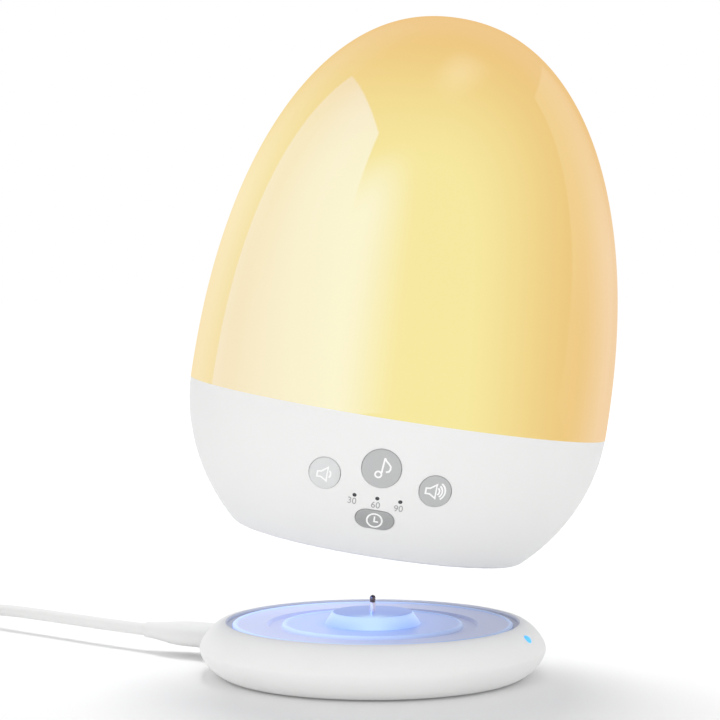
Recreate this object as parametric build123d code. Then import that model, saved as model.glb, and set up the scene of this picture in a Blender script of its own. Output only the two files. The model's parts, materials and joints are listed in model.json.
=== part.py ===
from build123d import *
import os
from math import atan2, cos, pi, radians, sin, sqrt, tan

# White noise sound machine: an egg-shaped light and speaker that lifts off a round charging dock.
# Millimetres, +Z up. The origin is the centre of the dock's underside, and the buttons face -Y.
# Pieces of the egg are drawn upright, on the plane of its flat bottom, and are then set over the dock.

# --- Egg: outline and shells ----------------------------------------------------------------------
EGG_RADIUS = 58.0
EGG_HEIGHT = 146.0
WIDEST_HEIGHT = 39.1
LOWER_REACH = 53.9  # half height of the ellipse under the widest line
CROWN_POWER = 2.19  # the crown is a superellipse, a little squarer than an ellipse
SHELL_WALL = 2.2

# --- Egg: how it stands over the dock -------------------------------------------------------------
LEAN = 8.83  # degrees to the right when lifted
TURN = -3.15  # degrees about its own upright axis
LIFT = 22.7
SIDE_SHIFT = 1.2

# --- Egg: button panel ----------------------------------------------------------------------------
PANEL_DIP = 24.0  # degrees that the buttons' axis points below the horizon
PANEL_HEIGHT = 17.6
TUNE_HEIGHT = 24.5
TUNE_DIAMETER = 10.5
VOLUME_HEIGHT = 20.7
VOLUME_ANGLE = 15.2
VOLUME_DIAMETER = 9.0
TIMER_HEIGHT = 10.7
TIMER_LENGTH = 10.3
TIMER_WIDTH = 6.0
DOT_HEIGHT = 16.7
DOT_ANGLE = 6.45
DOT_DIAMETER = 1.1
BUTTON_GAP = 0.25
CAP_PROUD = 0.35
CAP_DEPTH = 5.0
CAP_LIP = 0.9
CAP_PLUNGER_RADIUS = 1.5
PRESS_TRAVEL = 0.5
PRESS_MARGIN = 0.1
SLIDE_GAP = 0.3
PLUNGER_DEPTH = 7.2
SWITCH_SIDE = 3.6
SWITCH_BODY = 2.2
SWITCH_STEM = 1.2
SWITCH_STEM_RADIUS = 1.1
TIMER_LED_SIZE = 1.6
TIMER_LED_HEIGHT = 0.7
PIPE_GAP = 0.1
PIPE_BAR = 1.4

# --- Circuit boards and fasteners -----------------------------------------------------------------
BOARD_THICKNESS = 1.2
BUTTON_BOARD_WIDTH = 38.0
BUTTON_BOARD_TOP = 9.8
BUTTON_BOARD_BOTTOM = -11.8
BUTTON_POST_INSET = 3.0
BUTTON_POST_Y = -7.0
BUTTON_SCREW_LENGTH = 4.0
POST_RADIUS = 2.2
SCREW_RADIUS = 1.0
SCREW_PILOT = 1.1
SCREW_HEAD_RADIUS = 1.9
SCREW_HEAD_HEIGHT = 0.9
PILOT_SPARE = 0.7
FIT_GAP = 0.15
OVERCUT = 1.0  # how far a cutting tool runs past what it cuts

# --- Egg: bottom cover, foot and pillars ----------------------------------------------------------
COVER_INSET = 2.87  # from the shell's bottom edge to the cover
COVER_THICKNESS = 2.4
COVER_LEDGE_WIDTH = 4.55
COVER_LEDGE_HEIGHT = 1.6
PILLAR_RADIUS = 3.0
COVER_SCREW_LENGTH = 8.0
COVER_SCREW_HEAD = 2.4
COUNTERBORE_GAP = 0.3
COUNTERBORE_DEPTH = 1.1
FOOT_INSET = 1.0  # from the pillars' screws to the foot
FOOT_FIT = 0.1
FOOT_WIDTH = 3.0
FOOT_STANDS = 1.2
FOOT_SEAT = 0.8
POCKET_RADIUS = 14.0
POCKET_DEPTH = 3.6
POCKET_WALL = 1.5

# --- Egg: inside ----------------------------------------------------------------------------------
MAIN_BOARD_LENGTH = 44.0
MAIN_BOARD_WIDTH = 34.0
MAIN_POST_INSET = 4.0
MAIN_SCREW_LENGTH = 5.0
CHIP_HEIGHT = 1.2
CHIP_SPACE = 2.8
CONTROLLER = (9.0, 9.0, -6.0, 2.0)  # length, width, x, y
AMPLIFIER = (5.0, 4.0, 8.0, 6.0)
JACK_RADIUS = 4.2
JACK_BORE_SPARE = 1.0
JACK_ROOF = 0.6
PIN_CLEARANCE = 0.5
CRADLE_PLATE = 1.0
CRADLE_MARGIN = 4.5
CRADLE_WALL = 1.6
CRADLE_HEIGHT = 8.0
CRADLE_SCREW_LENGTH = 3.5
BATTERY_DIAMETER = 18.2
BATTERY_LENGTH = 65.0
BATTERY_HEADROOM = 0.65
SPEAKER_HEIGHT = 15.0
SPEAKER_RADIUS = 14.0
SPEAKER_SETBACK = 5.4
SPEAKER_RIM = 1.4
SPEAKER_DEPTH = 12.5
MAGNET_RADIUS = 8.0
MAGNET_DEPTH = 4.5
CONE_RADIUS = 11.6
CONE_PAPER = 0.4
BASKET_WALL = 0.8
BASKET_FLOOR = 1.0
DUST_CAP_RADIUS = 4.5
DUST_CAP_TOP = 2.5
DUST_CAP_HEIGHT = 1.5
COLLAR_WALL = 1.4
RETAINER_THICKNESS = 1.6
RETAINER_INSET = 1.2
SPEAKER_LEADS_RUN = 6.0
SPEAKER_LEADS_LANDING = 5.0
GRILLE_HOLE = 1.3
GRILLE_PITCH = 3.0
GRILLE_RINGS = 3
LEDGE_WIDTH = 5.0
LEDGE_THICKNESS = 1.5
REFLECTOR_THICKNESS = 2.0
REFLECTOR_GAP = 0.43
SEAM_OVER_REFLECTOR = 2.6
SKIRT_GAP = 0.53
SKIRT_WALL = 1.7
SKIRT_ROOT = 2.0
LAMP_BOARD_INSET = 3.0  # from the harness to the board's edge
LAMP_SIZE = 5.0
LAMP_HEIGHT = 1.4
LAMP_RINGS = ((13.0, 6), (26.0, 12))  # circle radius and number of lamps
LAMP_SCREW_CIRCLE = 20.0
HARNESS_RADIUS = 1.0
HARNESS_GAP = 2.75  # from the battery's cradle to the harness's middle
HARNESS_Y = -7.0
HARNESS_BEND = 3.0
HARNESS_LANDING = 4.0

# --- Dock -----------------------------------------------------------------------------------------
DOCK_RADIUS = 48.2
DOCK_WIDEST = 7.7
DOCK_HEIGHT = 14.9
CREST_INSET = 6.6  # from the widest line in to the crest
FOOT_EDGE_INSET = 8.3
DOCK_UPPER_POWER = 1.5
DOCK_LOWER_POWER = 1.6
DOCK_WALL = 2.0
DOCK_SPLIT = 5.2
LIP_INSET = 1.0
RECESS_SLOPE = 1.5
RECESS_DEPTH = 1.5
LIGHT_PLATE_THICKNESS = 1.5
LIGHT_GROOVE_RADIUS = 25.3
LIGHT_GROOVE_WIDTH = 0.7
LIGHT_GROOVE_DEPTH = 0.3
SEAT_WIDTH = 3.1
SEAT_THICKNESS = 1.5
BOSS_BASE = 13.5
BOSS_TOP = 11.4
BOSS_HEIGHT = 4.1
BOSS_STEM = 8.0
PIN_RADIUS = 0.8
PIN_HEIGHT = 4.6
PIN_DARK = 2.0
PIN_BAND = 0.5
PIN_SLEEVE_BORE = 0.5
PIN_CORE = 0.32
DOCK_GAP = 0.1
PAD_INSET = 1.6
PAD_THICKNESS = 1.5
PAD_STANDS = 0.5
BASE_FLOOR = 1.6
DOCK_BOARD_INSET = 1.0
DOCK_BOARD_SCREW_LENGTH = 4.5
DOCK_LED_INSET = 5.0  # from the board's screws in to the circle of lamps
DOCK_LED_COUNT = 8
DOCK_LED_SIZE = 3.0
DOCK_LED_HEIGHT = 0.7
DOCK_POST_INSET = 7.5
DOCK_BOSS_RADIUS = 2.5
DOCK_BOSS_TURN = 10.0
DOCK_SCREW_LENGTH = 7.0
BALLAST_INNER = 14.0
BALLAST_THICKNESS = 2.0
STATUS_ANGLE = -22.8
STATUS_HEIGHT = 12.5
STATUS_RADIUS = 0.8
STATUS_LENGTH = 3.3
STATUS_LED_SIZE = 1.2
STATUS_LED_HEIGHT = 0.4
STATUS_TAB_WIDTH = 4.6
SOCKET_TAB_WIDTH = 14.0
TAB_INSET = 2.0

# --- Lead -----------------------------------------------------------------------------------------
PLUG_ANGLE = 149.5
PLUG_HEIGHT = 6.2
SOCKET_WIDTH = 9.0
SOCKET_TALL = 3.2
SOCKET_DEPTH = 7.5
SOCKET_WALL = 0.3
SOCKET_BACK = 1.0
SOCKET_INSET = 0.5
SOCKET_CUT = 11.5
CORNER_FLAT = 0.1  # left between the round corners of a plug or socket
SHELL_WIDTH = 8.2
SHELL_TALL = 2.4
SHELL_INSERT = 6.2
GRIP_GAP = 0.3
GRIP_WIDTH = 11.6
GRIP_TALL = 6.4
GRIP_STRAIGHT = 11.0
GRIP_LENGTH = 29.0
NECK_GROWTH = 0.6
LEAD_DIAMETER = 3.5
LEAD_LENGTH = 1000.0
RUN_SHARE = 0.45  # of its shorter run, for each of the lead's bends
COIL_X = -154.0
COIL_Y = 84.0
COIL_TURN_RADIUS = 19.0
COIL_BUNDLE_WIDTH = 11.0
COIL_BUNDLE_HEIGHT = 10.0
COIL_ENTRY_ANGLE = 50.0
TIE_ANGLE = 300.0
TIE_WIDTH = 7.0
TIE_THICKNESS = 0.8
TIE_SLACK = 1.0
TAIL_LENGTH = 27.0
FAR_GRIP_LENGTH = 24.0
FAR_GRIP_WIDTH = 15.0
FAR_GRIP_TALL = 8.0
FAR_GRIP_CORNER = 1.5
FAR_SHELL_LENGTH = 12.0
FAR_SHELL_WIDTH = 12.0
FAR_SHELL_TALL = 4.5
FAR_SHELL_WALL = 0.4
FAR_SHELL_FLOOR = 1.0
FAR_TONGUE = 1.6

CENTRE_BOTTOM = (Align.CENTER, Align.CENTER, Align.MIN)
FOUR_CORNERS = (45, 135, 225, 315)

# --- Sizes worked out from the ones above ---------------------------------------------------------
def egg_radius_at(z):
    return EGG_RADIUS * sqrt(1 - ((WIDEST_HEIGHT - z) / LOWER_REACH) ** 2)


CROWN_REACH = EGG_HEIGHT - WIDEST_HEIGHT
RECESS_Z = DOCK_HEIGHT - RECESS_DEPTH
BOSS_Z = RECESS_Z + BOSS_HEIGHT
PIN_TOP = BOSS_Z + PIN_HEIGHT
DOCKED_HEIGHT = RECESS_Z + FOOT_STANDS + DOCK_GAP
LIFTED_HEIGHT = DOCKED_HEIGHT + LIFT
PIN_REACH = PIN_TOP - DOCKED_HEIGHT
BOARD_DEPTH = PLUNGER_DEPTH + PRESS_TRAVEL + PRESS_MARGIN + SWITCH_BODY + SWITCH_STEM
SOCKET_TOP = PLUG_HEIGHT + SOCKET_TALL / 2
DOCK_BOARD_TOP = SOCKET_TOP + BOARD_THICKNESS
BASE_FLOOR_TOP = PAD_THICKNESS + BASE_FLOOR
DOCK_CREST = DOCK_RADIUS - CREST_INSET
DOCK_FOOT = DOCK_RADIUS - FOOT_EDGE_INSET
LIP_RADIUS = DOCK_CREST - LIP_INSET
RECESS_FLOOR = LIP_RADIUS - RECESS_SLOPE
SEAT_INNER = RECESS_FLOOR - SEAT_WIDTH
DOCK_BOARD_RADIUS = SEAT_INNER - DOCK_BOSS_RADIUS - DOCK_BOARD_INSET
DOCK_POST_CIRCLE = DOCK_BOARD_RADIUS - DOCK_POST_INSET
DOCK_LED_CIRCLE = DOCK_POST_CIRCLE - DOCK_LED_INSET
PAD_RADIUS = DOCK_FOOT - PAD_INSET

# The egg's inside is a stack: jack, main board, pillars, battery, ledge, reflector, seam.
MAIN_BOARD_HEIGHT = PIN_REACH + JACK_BORE_SPARE + JACK_ROOF
MAIN_BOARD_TOP = MAIN_BOARD_HEIGHT + BOARD_THICKNESS
PILLAR_TOP = MAIN_BOARD_TOP + CHIP_SPACE
BATTERY_Z = PILLAR_TOP + CRADLE_PLATE + FIT_GAP + BATTERY_DIAMETER / 2
LEDGE_TOP = BATTERY_Z + BATTERY_DIAMETER / 2 + BATTERY_HEADROOM
REFLECTOR_TOP = LEDGE_TOP + REFLECTOR_THICKNESS
LAMP_BOARD_TOP = REFLECTOR_TOP + BOARD_THICKNESS
SEAM_HEIGHT = REFLECTOR_TOP + SEAM_OVER_REFLECTOR
REFLECTOR_RADIUS = egg_radius_at(LEDGE_TOP) - SHELL_WALL - REFLECTOR_GAP
SKIRT_OUTER = egg_radius_at(REFLECTOR_TOP) - SHELL_WALL - SKIRT_GAP
SKIRT_INNER = SKIRT_OUTER - SKIRT_WALL
COVER_RADIUS = egg_radius_at(0) - COVER_INSET
PILLAR_CIRCLE = COVER_RADIUS - COVER_LEDGE_WIDTH
FOOT_OUTER = PILLAR_CIRCLE - PILLAR_RADIUS - FOOT_INSET
TROUGH_WIDTH = BATTERY_DIAMETER + 2 * (FIT_GAP + CRADLE_WALL)
TROUGH_LENGTH = BATTERY_LENGTH + 2 * (FIT_GAP + CRADLE_WALL)
HARNESS_X = TROUGH_LENGTH / 2 + HARNESS_GAP
LAMP_BOARD_RADIUS = HARNESS_X - LAMP_BOARD_INSET


# --- Small helpers --------------------------------------------------------------------------------
def disc(radius, low, high, x=0, y=0):
    return Pos(x, y, low) * Cylinder(radius, high - low, align=CENTRE_BOTTOM)


def ring(inner, outer, low, high, x=0, y=0):
    return disc(outer, low, high, x, y) - disc(inner, low, high, x, y)


def block(length, width, low, high, x=0, y=0):
    return Pos(x, y, low) * Box(length, width, high - low, align=CENTRE_BOTTOM)


def around(angle, radius):
    return radius * cos(radians(angle)), radius * sin(radians(angle))


def even(count):
    return [360 * i / count for i in range(count)]


def pan_screw(length, head_radius, x, y, low, upwards=True):
    """A screw whose head's bearing face is at `low`, with its shank pointing up or down."""
    shank_low = low if upwards else low - length
    head_low = low - SCREW_HEAD_HEIGHT if upwards else low
    shank = disc(SCREW_RADIUS, shank_low, shank_low + length, x, y)
    return shank + disc(head_radius, head_low, head_low + SCREW_HEAD_HEIGHT, x, y)


# --- Egg outline ----------------------------------------------------------------------------------
def inward(r, z, normal, inset):
    unit = Vector(*normal, 0).normalized()
    return r - inset * unit.X, z - inset * unit.Y


def lower_point(angle, inset):
    r = EGG_RADIUS * cos(angle)
    z = WIDEST_HEIGHT - LOWER_REACH * sin(angle)
    return inward(r, z, (cos(angle) / EGG_RADIUS, -sin(angle) / LOWER_REACH), inset)


def crown_point(angle, inset):
    across = cos(angle) ** (2 / CROWN_POWER)
    up = sin(angle) ** (2 / CROWN_POWER)
    normal = (across ** (CROWN_POWER - 1) / EGG_RADIUS, up ** (CROWN_POWER - 1) / CROWN_REACH)
    return inward(EGG_RADIUS * across, WIDEST_HEIGHT + CROWN_REACH * up, normal, inset)


def egg(inset):
    """The whole egg as a solid, its surface moved inwards by `inset`, running on below its flat bottom."""
    start = radians(60)
    lower = [lower_point(start * (1 - i / 5), inset) for i in range(6)]
    upper = [crown_point(pi / 2 * i / 11, inset) for i in range(11)]
    upper.append((0, EGG_HEIGHT - inset))
    rising = (EGG_RADIUS * sin(start), LOWER_REACH * cos(start))
    edges = [
        Spline(*lower, tangents=[rising, (0, 1)]),
        Spline(*upper, tangents=[(0, 1), (-1, 0)]),
        Polyline((0, EGG_HEIGHT - inset), (0, lower[0][1]), lower[0]),
    ]
    return revolve(Plane.XZ * make_face(edges), Axis.Z)


def surface_point(height, angle=0):
    r = egg_radius_at(height)
    return Vector(r * sin(radians(angle)), -r * cos(radians(angle)), height)


EGG_SOLID = egg(0)
EGG_INSIDE = egg(SHELL_WALL)
EGG_MID_WALL = egg(SHELL_WALL / 2)
EGG_CAP_SURFACE = egg(-CAP_PROUD)
EGG_SLIDE_LIMIT = egg(SHELL_WALL + SLIDE_GAP)
WIDE = 2 * EGG_RADIUS


def within(solid, low, high):
    return solid & disc(WIDE, low, high)


# --- Button panel: a flat frame whose Z points out through the front of the shell -----------------
PANEL = Plane(
    origin=surface_point(PANEL_HEIGHT),
    x_dir=(1, 0, 0),
    z_dir=(0, -cos(radians(PANEL_DIP)), -sin(radians(PANEL_DIP))),
)


def on_panel(height, angle=0):
    return PANEL.to_local_coords(surface_point(height, angle))


def panel_prism(shape, spot, low, high):
    return extrude(PANEL * Pos(spot.X, spot.Y, low) * shape, amount=high - low)


def round_outline(diameter):
    return lambda grow: Circle(diameter / 2 + grow)


def timer_outline(grow):
    return SlotOverall(TIMER_LENGTH + 2 * grow, TIMER_WIDTH + 2 * grow)


BUTTONS = {
    "volume_down_button": (on_panel(VOLUME_HEIGHT, -VOLUME_ANGLE), round_outline(VOLUME_DIAMETER)),
    "tune_button": (on_panel(TUNE_HEIGHT), round_outline(TUNE_DIAMETER)),
    "volume_up_button": (on_panel(VOLUME_HEIGHT, VOLUME_ANGLE), round_outline(VOLUME_DIAMETER)),
    "timer_button": (on_panel(TIMER_HEIGHT), timer_outline),
}
DOTS = [on_panel(DOT_HEIGHT, angle) for angle in (-DOT_ANGLE, 0, DOT_ANGLE)]
OUTSIDE = EGG_RADIUS / 2  # far enough out of the panel to pass the whole shell


def button(spot, outline):
    """A cap that follows the egg, with a lip that keeps it in the shell and a plunger for its switch."""
    back = spot.Z - CAP_DEPTH
    cap = panel_prism(outline(0), spot, back, OUTSIDE) & EGG_CAP_SURFACE
    lip = panel_prism(outline(CAP_LIP), spot, back, OUTSIDE) & EGG_SLIDE_LIMIT
    plunger = panel_prism(Circle(CAP_PLUNGER_RADIUS), spot, -PLUNGER_DEPTH, back)
    return cap + lip + plunger


def switch(spot):
    foot = -BOARD_DEPTH
    body = panel_prism(Rectangle(SWITCH_SIDE, SWITCH_SIDE), spot, foot, foot + SWITCH_BODY)
    stem_low = foot + SWITCH_BODY
    return body + panel_prism(Circle(SWITCH_STEM_RADIUS), spot, stem_low, stem_low + SWITCH_STEM)


def button_posts():
    x = BUTTON_BOARD_WIDTH / 2 - BUTTON_POST_INSET
    return [Vector(side * x, BUTTON_POST_Y, 0) for side in (-1, 1)]


def button_board():
    tall = BUTTON_BOARD_TOP - BUTTON_BOARD_BOTTOM
    middle = Vector(0, (BUTTON_BOARD_TOP + BUTTON_BOARD_BOTTOM) / 2, 0)
    shape = RectangleRounded(BUTTON_BOARD_WIDTH, tall, POST_RADIUS)
    board = panel_prism(shape, middle, -BOARD_DEPTH - BOARD_THICKNESS, -BOARD_DEPTH)
    for spot in button_posts():
        board -= panel_prism(Circle(SCREW_PILOT), spot, -BOARD_DEPTH - BOARD_THICKNESS, -BOARD_DEPTH)
    return board


def button_board_screws():
    low = -BOARD_DEPTH - BOARD_THICKNESS
    screws = []
    for spot in button_posts():
        shank = panel_prism(Circle(SCREW_RADIUS), spot, low, low + BUTTON_SCREW_LENGTH)
        screws.append(shank + panel_prism(Circle(SCREW_HEAD_RADIUS), spot, low - SCREW_HEAD_HEIGHT, low))
    return screws


def timer_leds():
    side = Rectangle(TIMER_LED_SIZE, TIMER_LED_SIZE)
    return [panel_prism(side, spot, -BOARD_DEPTH, -BOARD_DEPTH + TIMER_LED_HEIGHT) for spot in DOTS]


def timer_light_pipes():
    """Three clear pins, flush with the shell, on one cross bar."""
    low = -BOARD_DEPTH + TIMER_LED_HEIGHT + PIPE_GAP
    pins = [panel_prism(Circle(DOT_DIAMETER / 2), spot, low, OUTSIDE) & EGG_SOLID for spot in DOTS]
    length = DOTS[2].X - DOTS[0].X + 2 * DOT_DIAMETER
    bar = panel_prism(Rectangle(length, PIPE_BAR), DOTS[1], low + PIPE_BAR, low + 2 * PIPE_BAR)
    return bar + pins


# --- Speaker: it faces out of the back of the lower housing ---------------------------------------
def speaker_plane():
    r = egg_radius_at(SPEAKER_HEIGHT)
    drop = atan2((WIDEST_HEIGHT - SPEAKER_HEIGHT) / LOWER_REACH**2, r / EGG_RADIUS**2)
    out = Vector(0, cos(drop), -sin(drop))
    front = Vector(0, r, SPEAKER_HEIGHT) - out * SPEAKER_SETBACK
    return Plane(origin=front, x_dir=(-1, 0, 0), z_dir=out)


SPEAKER = speaker_plane()


def speaker_tube(inner, outer, low, high):
    """A ring about the speaker's axis, `low` to `high` in front of its rim's face."""
    tube = Pos(0, 0, low) * Cylinder(outer, high - low, align=CENTRE_BOTTOM)
    if inner > 0:
        tube -= Pos(0, 0, low) * Cylinder(inner, high - low, align=CENTRE_BOTTOM)
    return SPEAKER * tube


def speaker_cup(back_radius, front_radius, low, depth):
    """A solid cone about the speaker's axis, from `low` forwards."""
    return SPEAKER * Pos(0, 0, low) * Cone(back_radius, front_radius, depth, align=CENTRE_BOTTOM)


def grille_holes():
    spots = [(0, 0)]
    for step in range(1, GRILLE_RINGS + 1):
        spots += [around(angle, step * GRILLE_PITCH) for angle in even(6 * step)]
    hole = Cylinder(GRILLE_HOLE / 2, 4 * SPEAKER_SETBACK)
    return [SPEAKER * Pos(x, y, SPEAKER_SETBACK) * hole for x, y in spots]


def speaker_collar():
    inner = SPEAKER_RADIUS + FIT_GAP
    back = -SPEAKER_RIM - RETAINER_THICKNESS
    return speaker_tube(inner, inner + COLLAR_WALL, back, OUTSIDE) & EGG_MID_WALL


def speaker_gasket():
    return speaker_tube(CONE_RADIUS, SPEAKER_RADIUS, 0, OUTSIDE) & EGG_INSIDE


def speaker_frame():
    """Pressed basket: a flat rim, a tapering bowl and the magnet cup behind it."""
    depth = SPEAKER_DEPTH - MAGNET_DEPTH
    bowl = speaker_cup(MAGNET_RADIUS, CONE_RADIUS + BASKET_WALL, -depth, depth)
    inner_depth = depth - BASKET_FLOOR
    bowl -= speaker_cup(MAGNET_RADIUS - BASKET_FLOOR, CONE_RADIUS, -inner_depth, inner_depth)
    return bowl + speaker_tube(CONE_RADIUS, SPEAKER_RADIUS, -SPEAKER_RIM, 0)


def speaker_magnet():
    return speaker_tube(0, MAGNET_RADIUS, -SPEAKER_DEPTH, MAGNET_DEPTH - SPEAKER_DEPTH)


def speaker_cone():
    """Paper cone with a dust cap, seated in the basket's bowl."""
    depth = SPEAKER_DEPTH - MAGNET_DEPTH - BASKET_FLOOR
    back_radius = MAGNET_RADIUS - BASKET_FLOOR
    low = BASKET_FLOOR - depth
    cone = speaker_cup(back_radius, CONE_RADIUS, -depth, depth)
    cone -= speaker_cup(back_radius - CONE_PAPER, CONE_RADIUS - CONE_PAPER, low, depth)
    return cone + speaker_cup(DUST_CAP_RADIUS, DUST_CAP_TOP, low, DUST_CAP_HEIGHT)


def speaker_retainer():
    back = -SPEAKER_RIM - RETAINER_THICKNESS
    return speaker_tube(CONE_RADIUS + RETAINER_INSET, SPEAKER_RADIUS + FIT_GAP, back, -SPEAKER_RIM)


def speaker_leads():
    back = -SPEAKER_RIM - RETAINER_THICKNESS - RETAINER_INSET
    start = SPEAKER.from_local_coords(Vector(0, -CONE_RADIUS - RETAINER_INSET, back))
    board_z = MAIN_BOARD_TOP + HARNESS_RADIUS
    landing = (0, MAIN_BOARD_WIDTH / 2 - SPEAKER_LEADS_LANDING, board_z)
    return wire([start, (0, start.Y - SPEAKER_LEADS_RUN, board_z), landing], HARNESS_RADIUS)


def wire(points, radius, bend=HARNESS_BEND):
    path = FilletPolyline(*points, radius=bend)
    return sweep(Plane(origin=path @ 0, z_dir=path % 0) * Circle(radius), path=path)


# --- Egg: shells and what they carry --------------------------------------------------------------
def pillar_spots():
    return [around(angle, PILLAR_CIRCLE) for angle in FOUR_CORNERS]


def lower_housing():
    shell = within(EGG_SOLID, 0, SEAM_HEIGHT) - EGG_INSIDE
    ledge_inner = REFLECTOR_RADIUS - LEDGE_WIDTH
    top_ledge = ring(ledge_inner, EGG_RADIUS, LEDGE_TOP - LEDGE_THICKNESS, LEDGE_TOP)
    bottom_inner = COVER_RADIUS - COVER_LEDGE_WIDTH
    bottom_ledge = ring(bottom_inner, EGG_RADIUS, COVER_THICKNESS, COVER_THICKNESS + COVER_LEDGE_HEIGHT)
    shell += (top_ledge + bottom_ledge) & EGG_MID_WALL
    shell -= disc(COVER_RADIUS + FIT_GAP, -OVERCUT, COVER_THICKNESS)
    shell += [disc(PILLAR_RADIUS, COVER_THICKNESS, PILLAR_TOP, x, y) for x, y in pillar_spots()]
    shell += speaker_collar()
    pilot_top = BUTTON_SCREW_LENGTH - BOARD_THICKNESS + PILOT_SPARE - BOARD_DEPTH
    for spot in button_posts():
        shell += panel_prism(Circle(POST_RADIUS), spot, -BOARD_DEPTH, OUTSIDE) & EGG_MID_WALL
        shell -= panel_prism(Circle(SCREW_PILOT), spot, -BOARD_DEPTH, pilot_top)
    shell -= [disc(SCREW_PILOT, 0, PILLAR_TOP, x, y) for x, y in pillar_spots()]
    for spot, outline in BUTTONS.values():
        shell -= panel_prism(outline(BUTTON_GAP), spot, -BOARD_DEPTH, OUTSIDE)
        shell -= panel_prism(outline(CAP_LIP + SLIDE_GAP), spot, -BOARD_DEPTH, OUTSIDE) & EGG_INSIDE
    for spot in DOTS:
        shell -= panel_prism(Circle(DOT_DIAMETER / 2 + PIPE_GAP), spot, -BOARD_DEPTH, OUTSIDE)
    return shell - grille_holes()


def diffuser_dome():
    dome = within(EGG_SOLID, SEAM_HEIGHT, EGG_HEIGHT + OVERCUT) - EGG_INSIDE
    root_top = SEAM_HEIGHT + SKIRT_ROOT
    root = ring(SKIRT_INNER, EGG_RADIUS, SEAM_HEIGHT, root_top) & EGG_MID_WALL
    return dome + root + ring(SKIRT_INNER, SKIRT_OUTER, REFLECTOR_TOP, root_top)


def bottom_cover():
    cup_radius = POCKET_RADIUS + POCKET_WALL
    cover = disc(COVER_RADIUS, 0, COVER_THICKNESS) + disc(cup_radius, 0, POCKET_DEPTH + POCKET_WALL)
    cover -= disc(POCKET_RADIUS, 0, POCKET_DEPTH)
    cover -= disc(PIN_RADIUS + 2 * PIN_CLEARANCE, 0, POCKET_DEPTH + POCKET_WALL)
    cover -= ring(FOOT_OUTER - FOOT_WIDTH - FOOT_FIT, FOOT_OUTER + FOOT_FIT, 0, FOOT_SEAT)
    for x, y in pillar_spots():
        cover -= disc(SCREW_RADIUS + FIT_GAP, 0, COVER_THICKNESS, x, y)
        cover -= disc(COVER_SCREW_HEAD + COUNTERBORE_GAP, 0, COUNTERBORE_DEPTH, x, y)
    for x, y in main_posts():
        cover += disc(POST_RADIUS, COVER_THICKNESS, MAIN_BOARD_HEIGHT, x, y)
        cover -= disc(SCREW_PILOT, COVER_THICKNESS, MAIN_BOARD_HEIGHT, x, y)
    return cover


def foot_ring():
    return ring(FOOT_OUTER - FOOT_WIDTH, FOOT_OUTER, -FOOT_STANDS, FOOT_SEAT)


def cover_screws():
    size = (COVER_SCREW_LENGTH, COVER_SCREW_HEAD)
    return [pan_screw(*size, x, y, COUNTERBORE_DEPTH) for x, y in pillar_spots()]


def main_posts():
    x = MAIN_BOARD_LENGTH / 2 - MAIN_POST_INSET
    y = MAIN_BOARD_WIDTH / 2 - MAIN_POST_INSET
    return [(-x, -y), (-x, y), (x, -y), (x, y)]


def main_board():
    shape = RectangleRounded(MAIN_BOARD_LENGTH, MAIN_BOARD_WIDTH, POST_RADIUS)
    board = extrude(Pos(0, 0, MAIN_BOARD_HEIGHT) * shape, amount=BOARD_THICKNESS)
    return board - [disc(SCREW_PILOT, 0, MAIN_BOARD_TOP, x, y) for x, y in main_posts()]


def main_board_screws():
    size = (MAIN_SCREW_LENGTH, SCREW_HEAD_RADIUS)
    return [pan_screw(*size, x, y, MAIN_BOARD_TOP, upwards=False) for x, y in main_posts()]


def sound_chips():
    top = MAIN_BOARD_TOP + CHIP_HEIGHT
    chips = (CONTROLLER, AMPLIFIER)
    return [block(length, width, MAIN_BOARD_TOP, top, x, y) for length, width, x, y in chips]


def charging_jack():
    low = POCKET_DEPTH + POCKET_WALL
    bore_top = PIN_REACH + JACK_BORE_SPARE
    return disc(JACK_RADIUS, low, MAIN_BOARD_HEIGHT) - disc(PIN_RADIUS + PIN_CLEARANCE, low, bore_top)


def battery():
    return Pos(0, 0, BATTERY_Z) * Rot(0, 90, 0) * Cylinder(BATTERY_DIAMETER / 2, BATTERY_LENGTH)


def battery_cradle():
    """A trough for the cell, on a plate with two windows and an ear on each pillar."""
    plate_top = PILLAR_TOP + CRADLE_PLATE
    half = PILLAR_CIRCLE * cos(radians(45)) + CRADLE_MARGIN
    trough = block(TROUGH_LENGTH, TROUGH_WIDTH, PILLAR_TOP, PILLAR_TOP + CRADLE_HEIGHT)
    plate = block(2 * half, 2 * half, PILLAR_TOP, plate_top)
    space = Pos(0, 0, BATTERY_Z) * Rot(0, 90, 0)
    space *= Cylinder(BATTERY_DIAMETER / 2 + FIT_GAP, BATTERY_LENGTH + 2 * FIT_GAP)
    cradle = plate + trough - space
    for x, y in pillar_spots():
        cradle += disc(PILLAR_RADIUS, PILLAR_TOP, plate_top, x, y)
        cradle -= disc(SCREW_RADIUS + FIT_GAP, PILLAR_TOP, plate_top, x, y)
    window_length = TROUGH_WIDTH + 2 * CRADLE_WALL
    window_width = half - TROUGH_WIDTH
    window_y = (half + TROUGH_WIDTH / 2) / 2
    for side in (-1, 1):
        cradle -= block(window_length, window_width, PILLAR_TOP, plate_top, 0, side * window_y)
    return cradle


def cradle_screws():
    top = PILLAR_TOP + CRADLE_PLATE
    size = (CRADLE_SCREW_LENGTH, SCREW_HEAD_RADIUS)
    return [pan_screw(*size, x, y, top, upwards=False) for x, y in pillar_spots()]


def lamp_screw_spots():
    return [around(angle, LAMP_SCREW_CIRCLE) for angle in FOUR_CORNERS]


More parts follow.
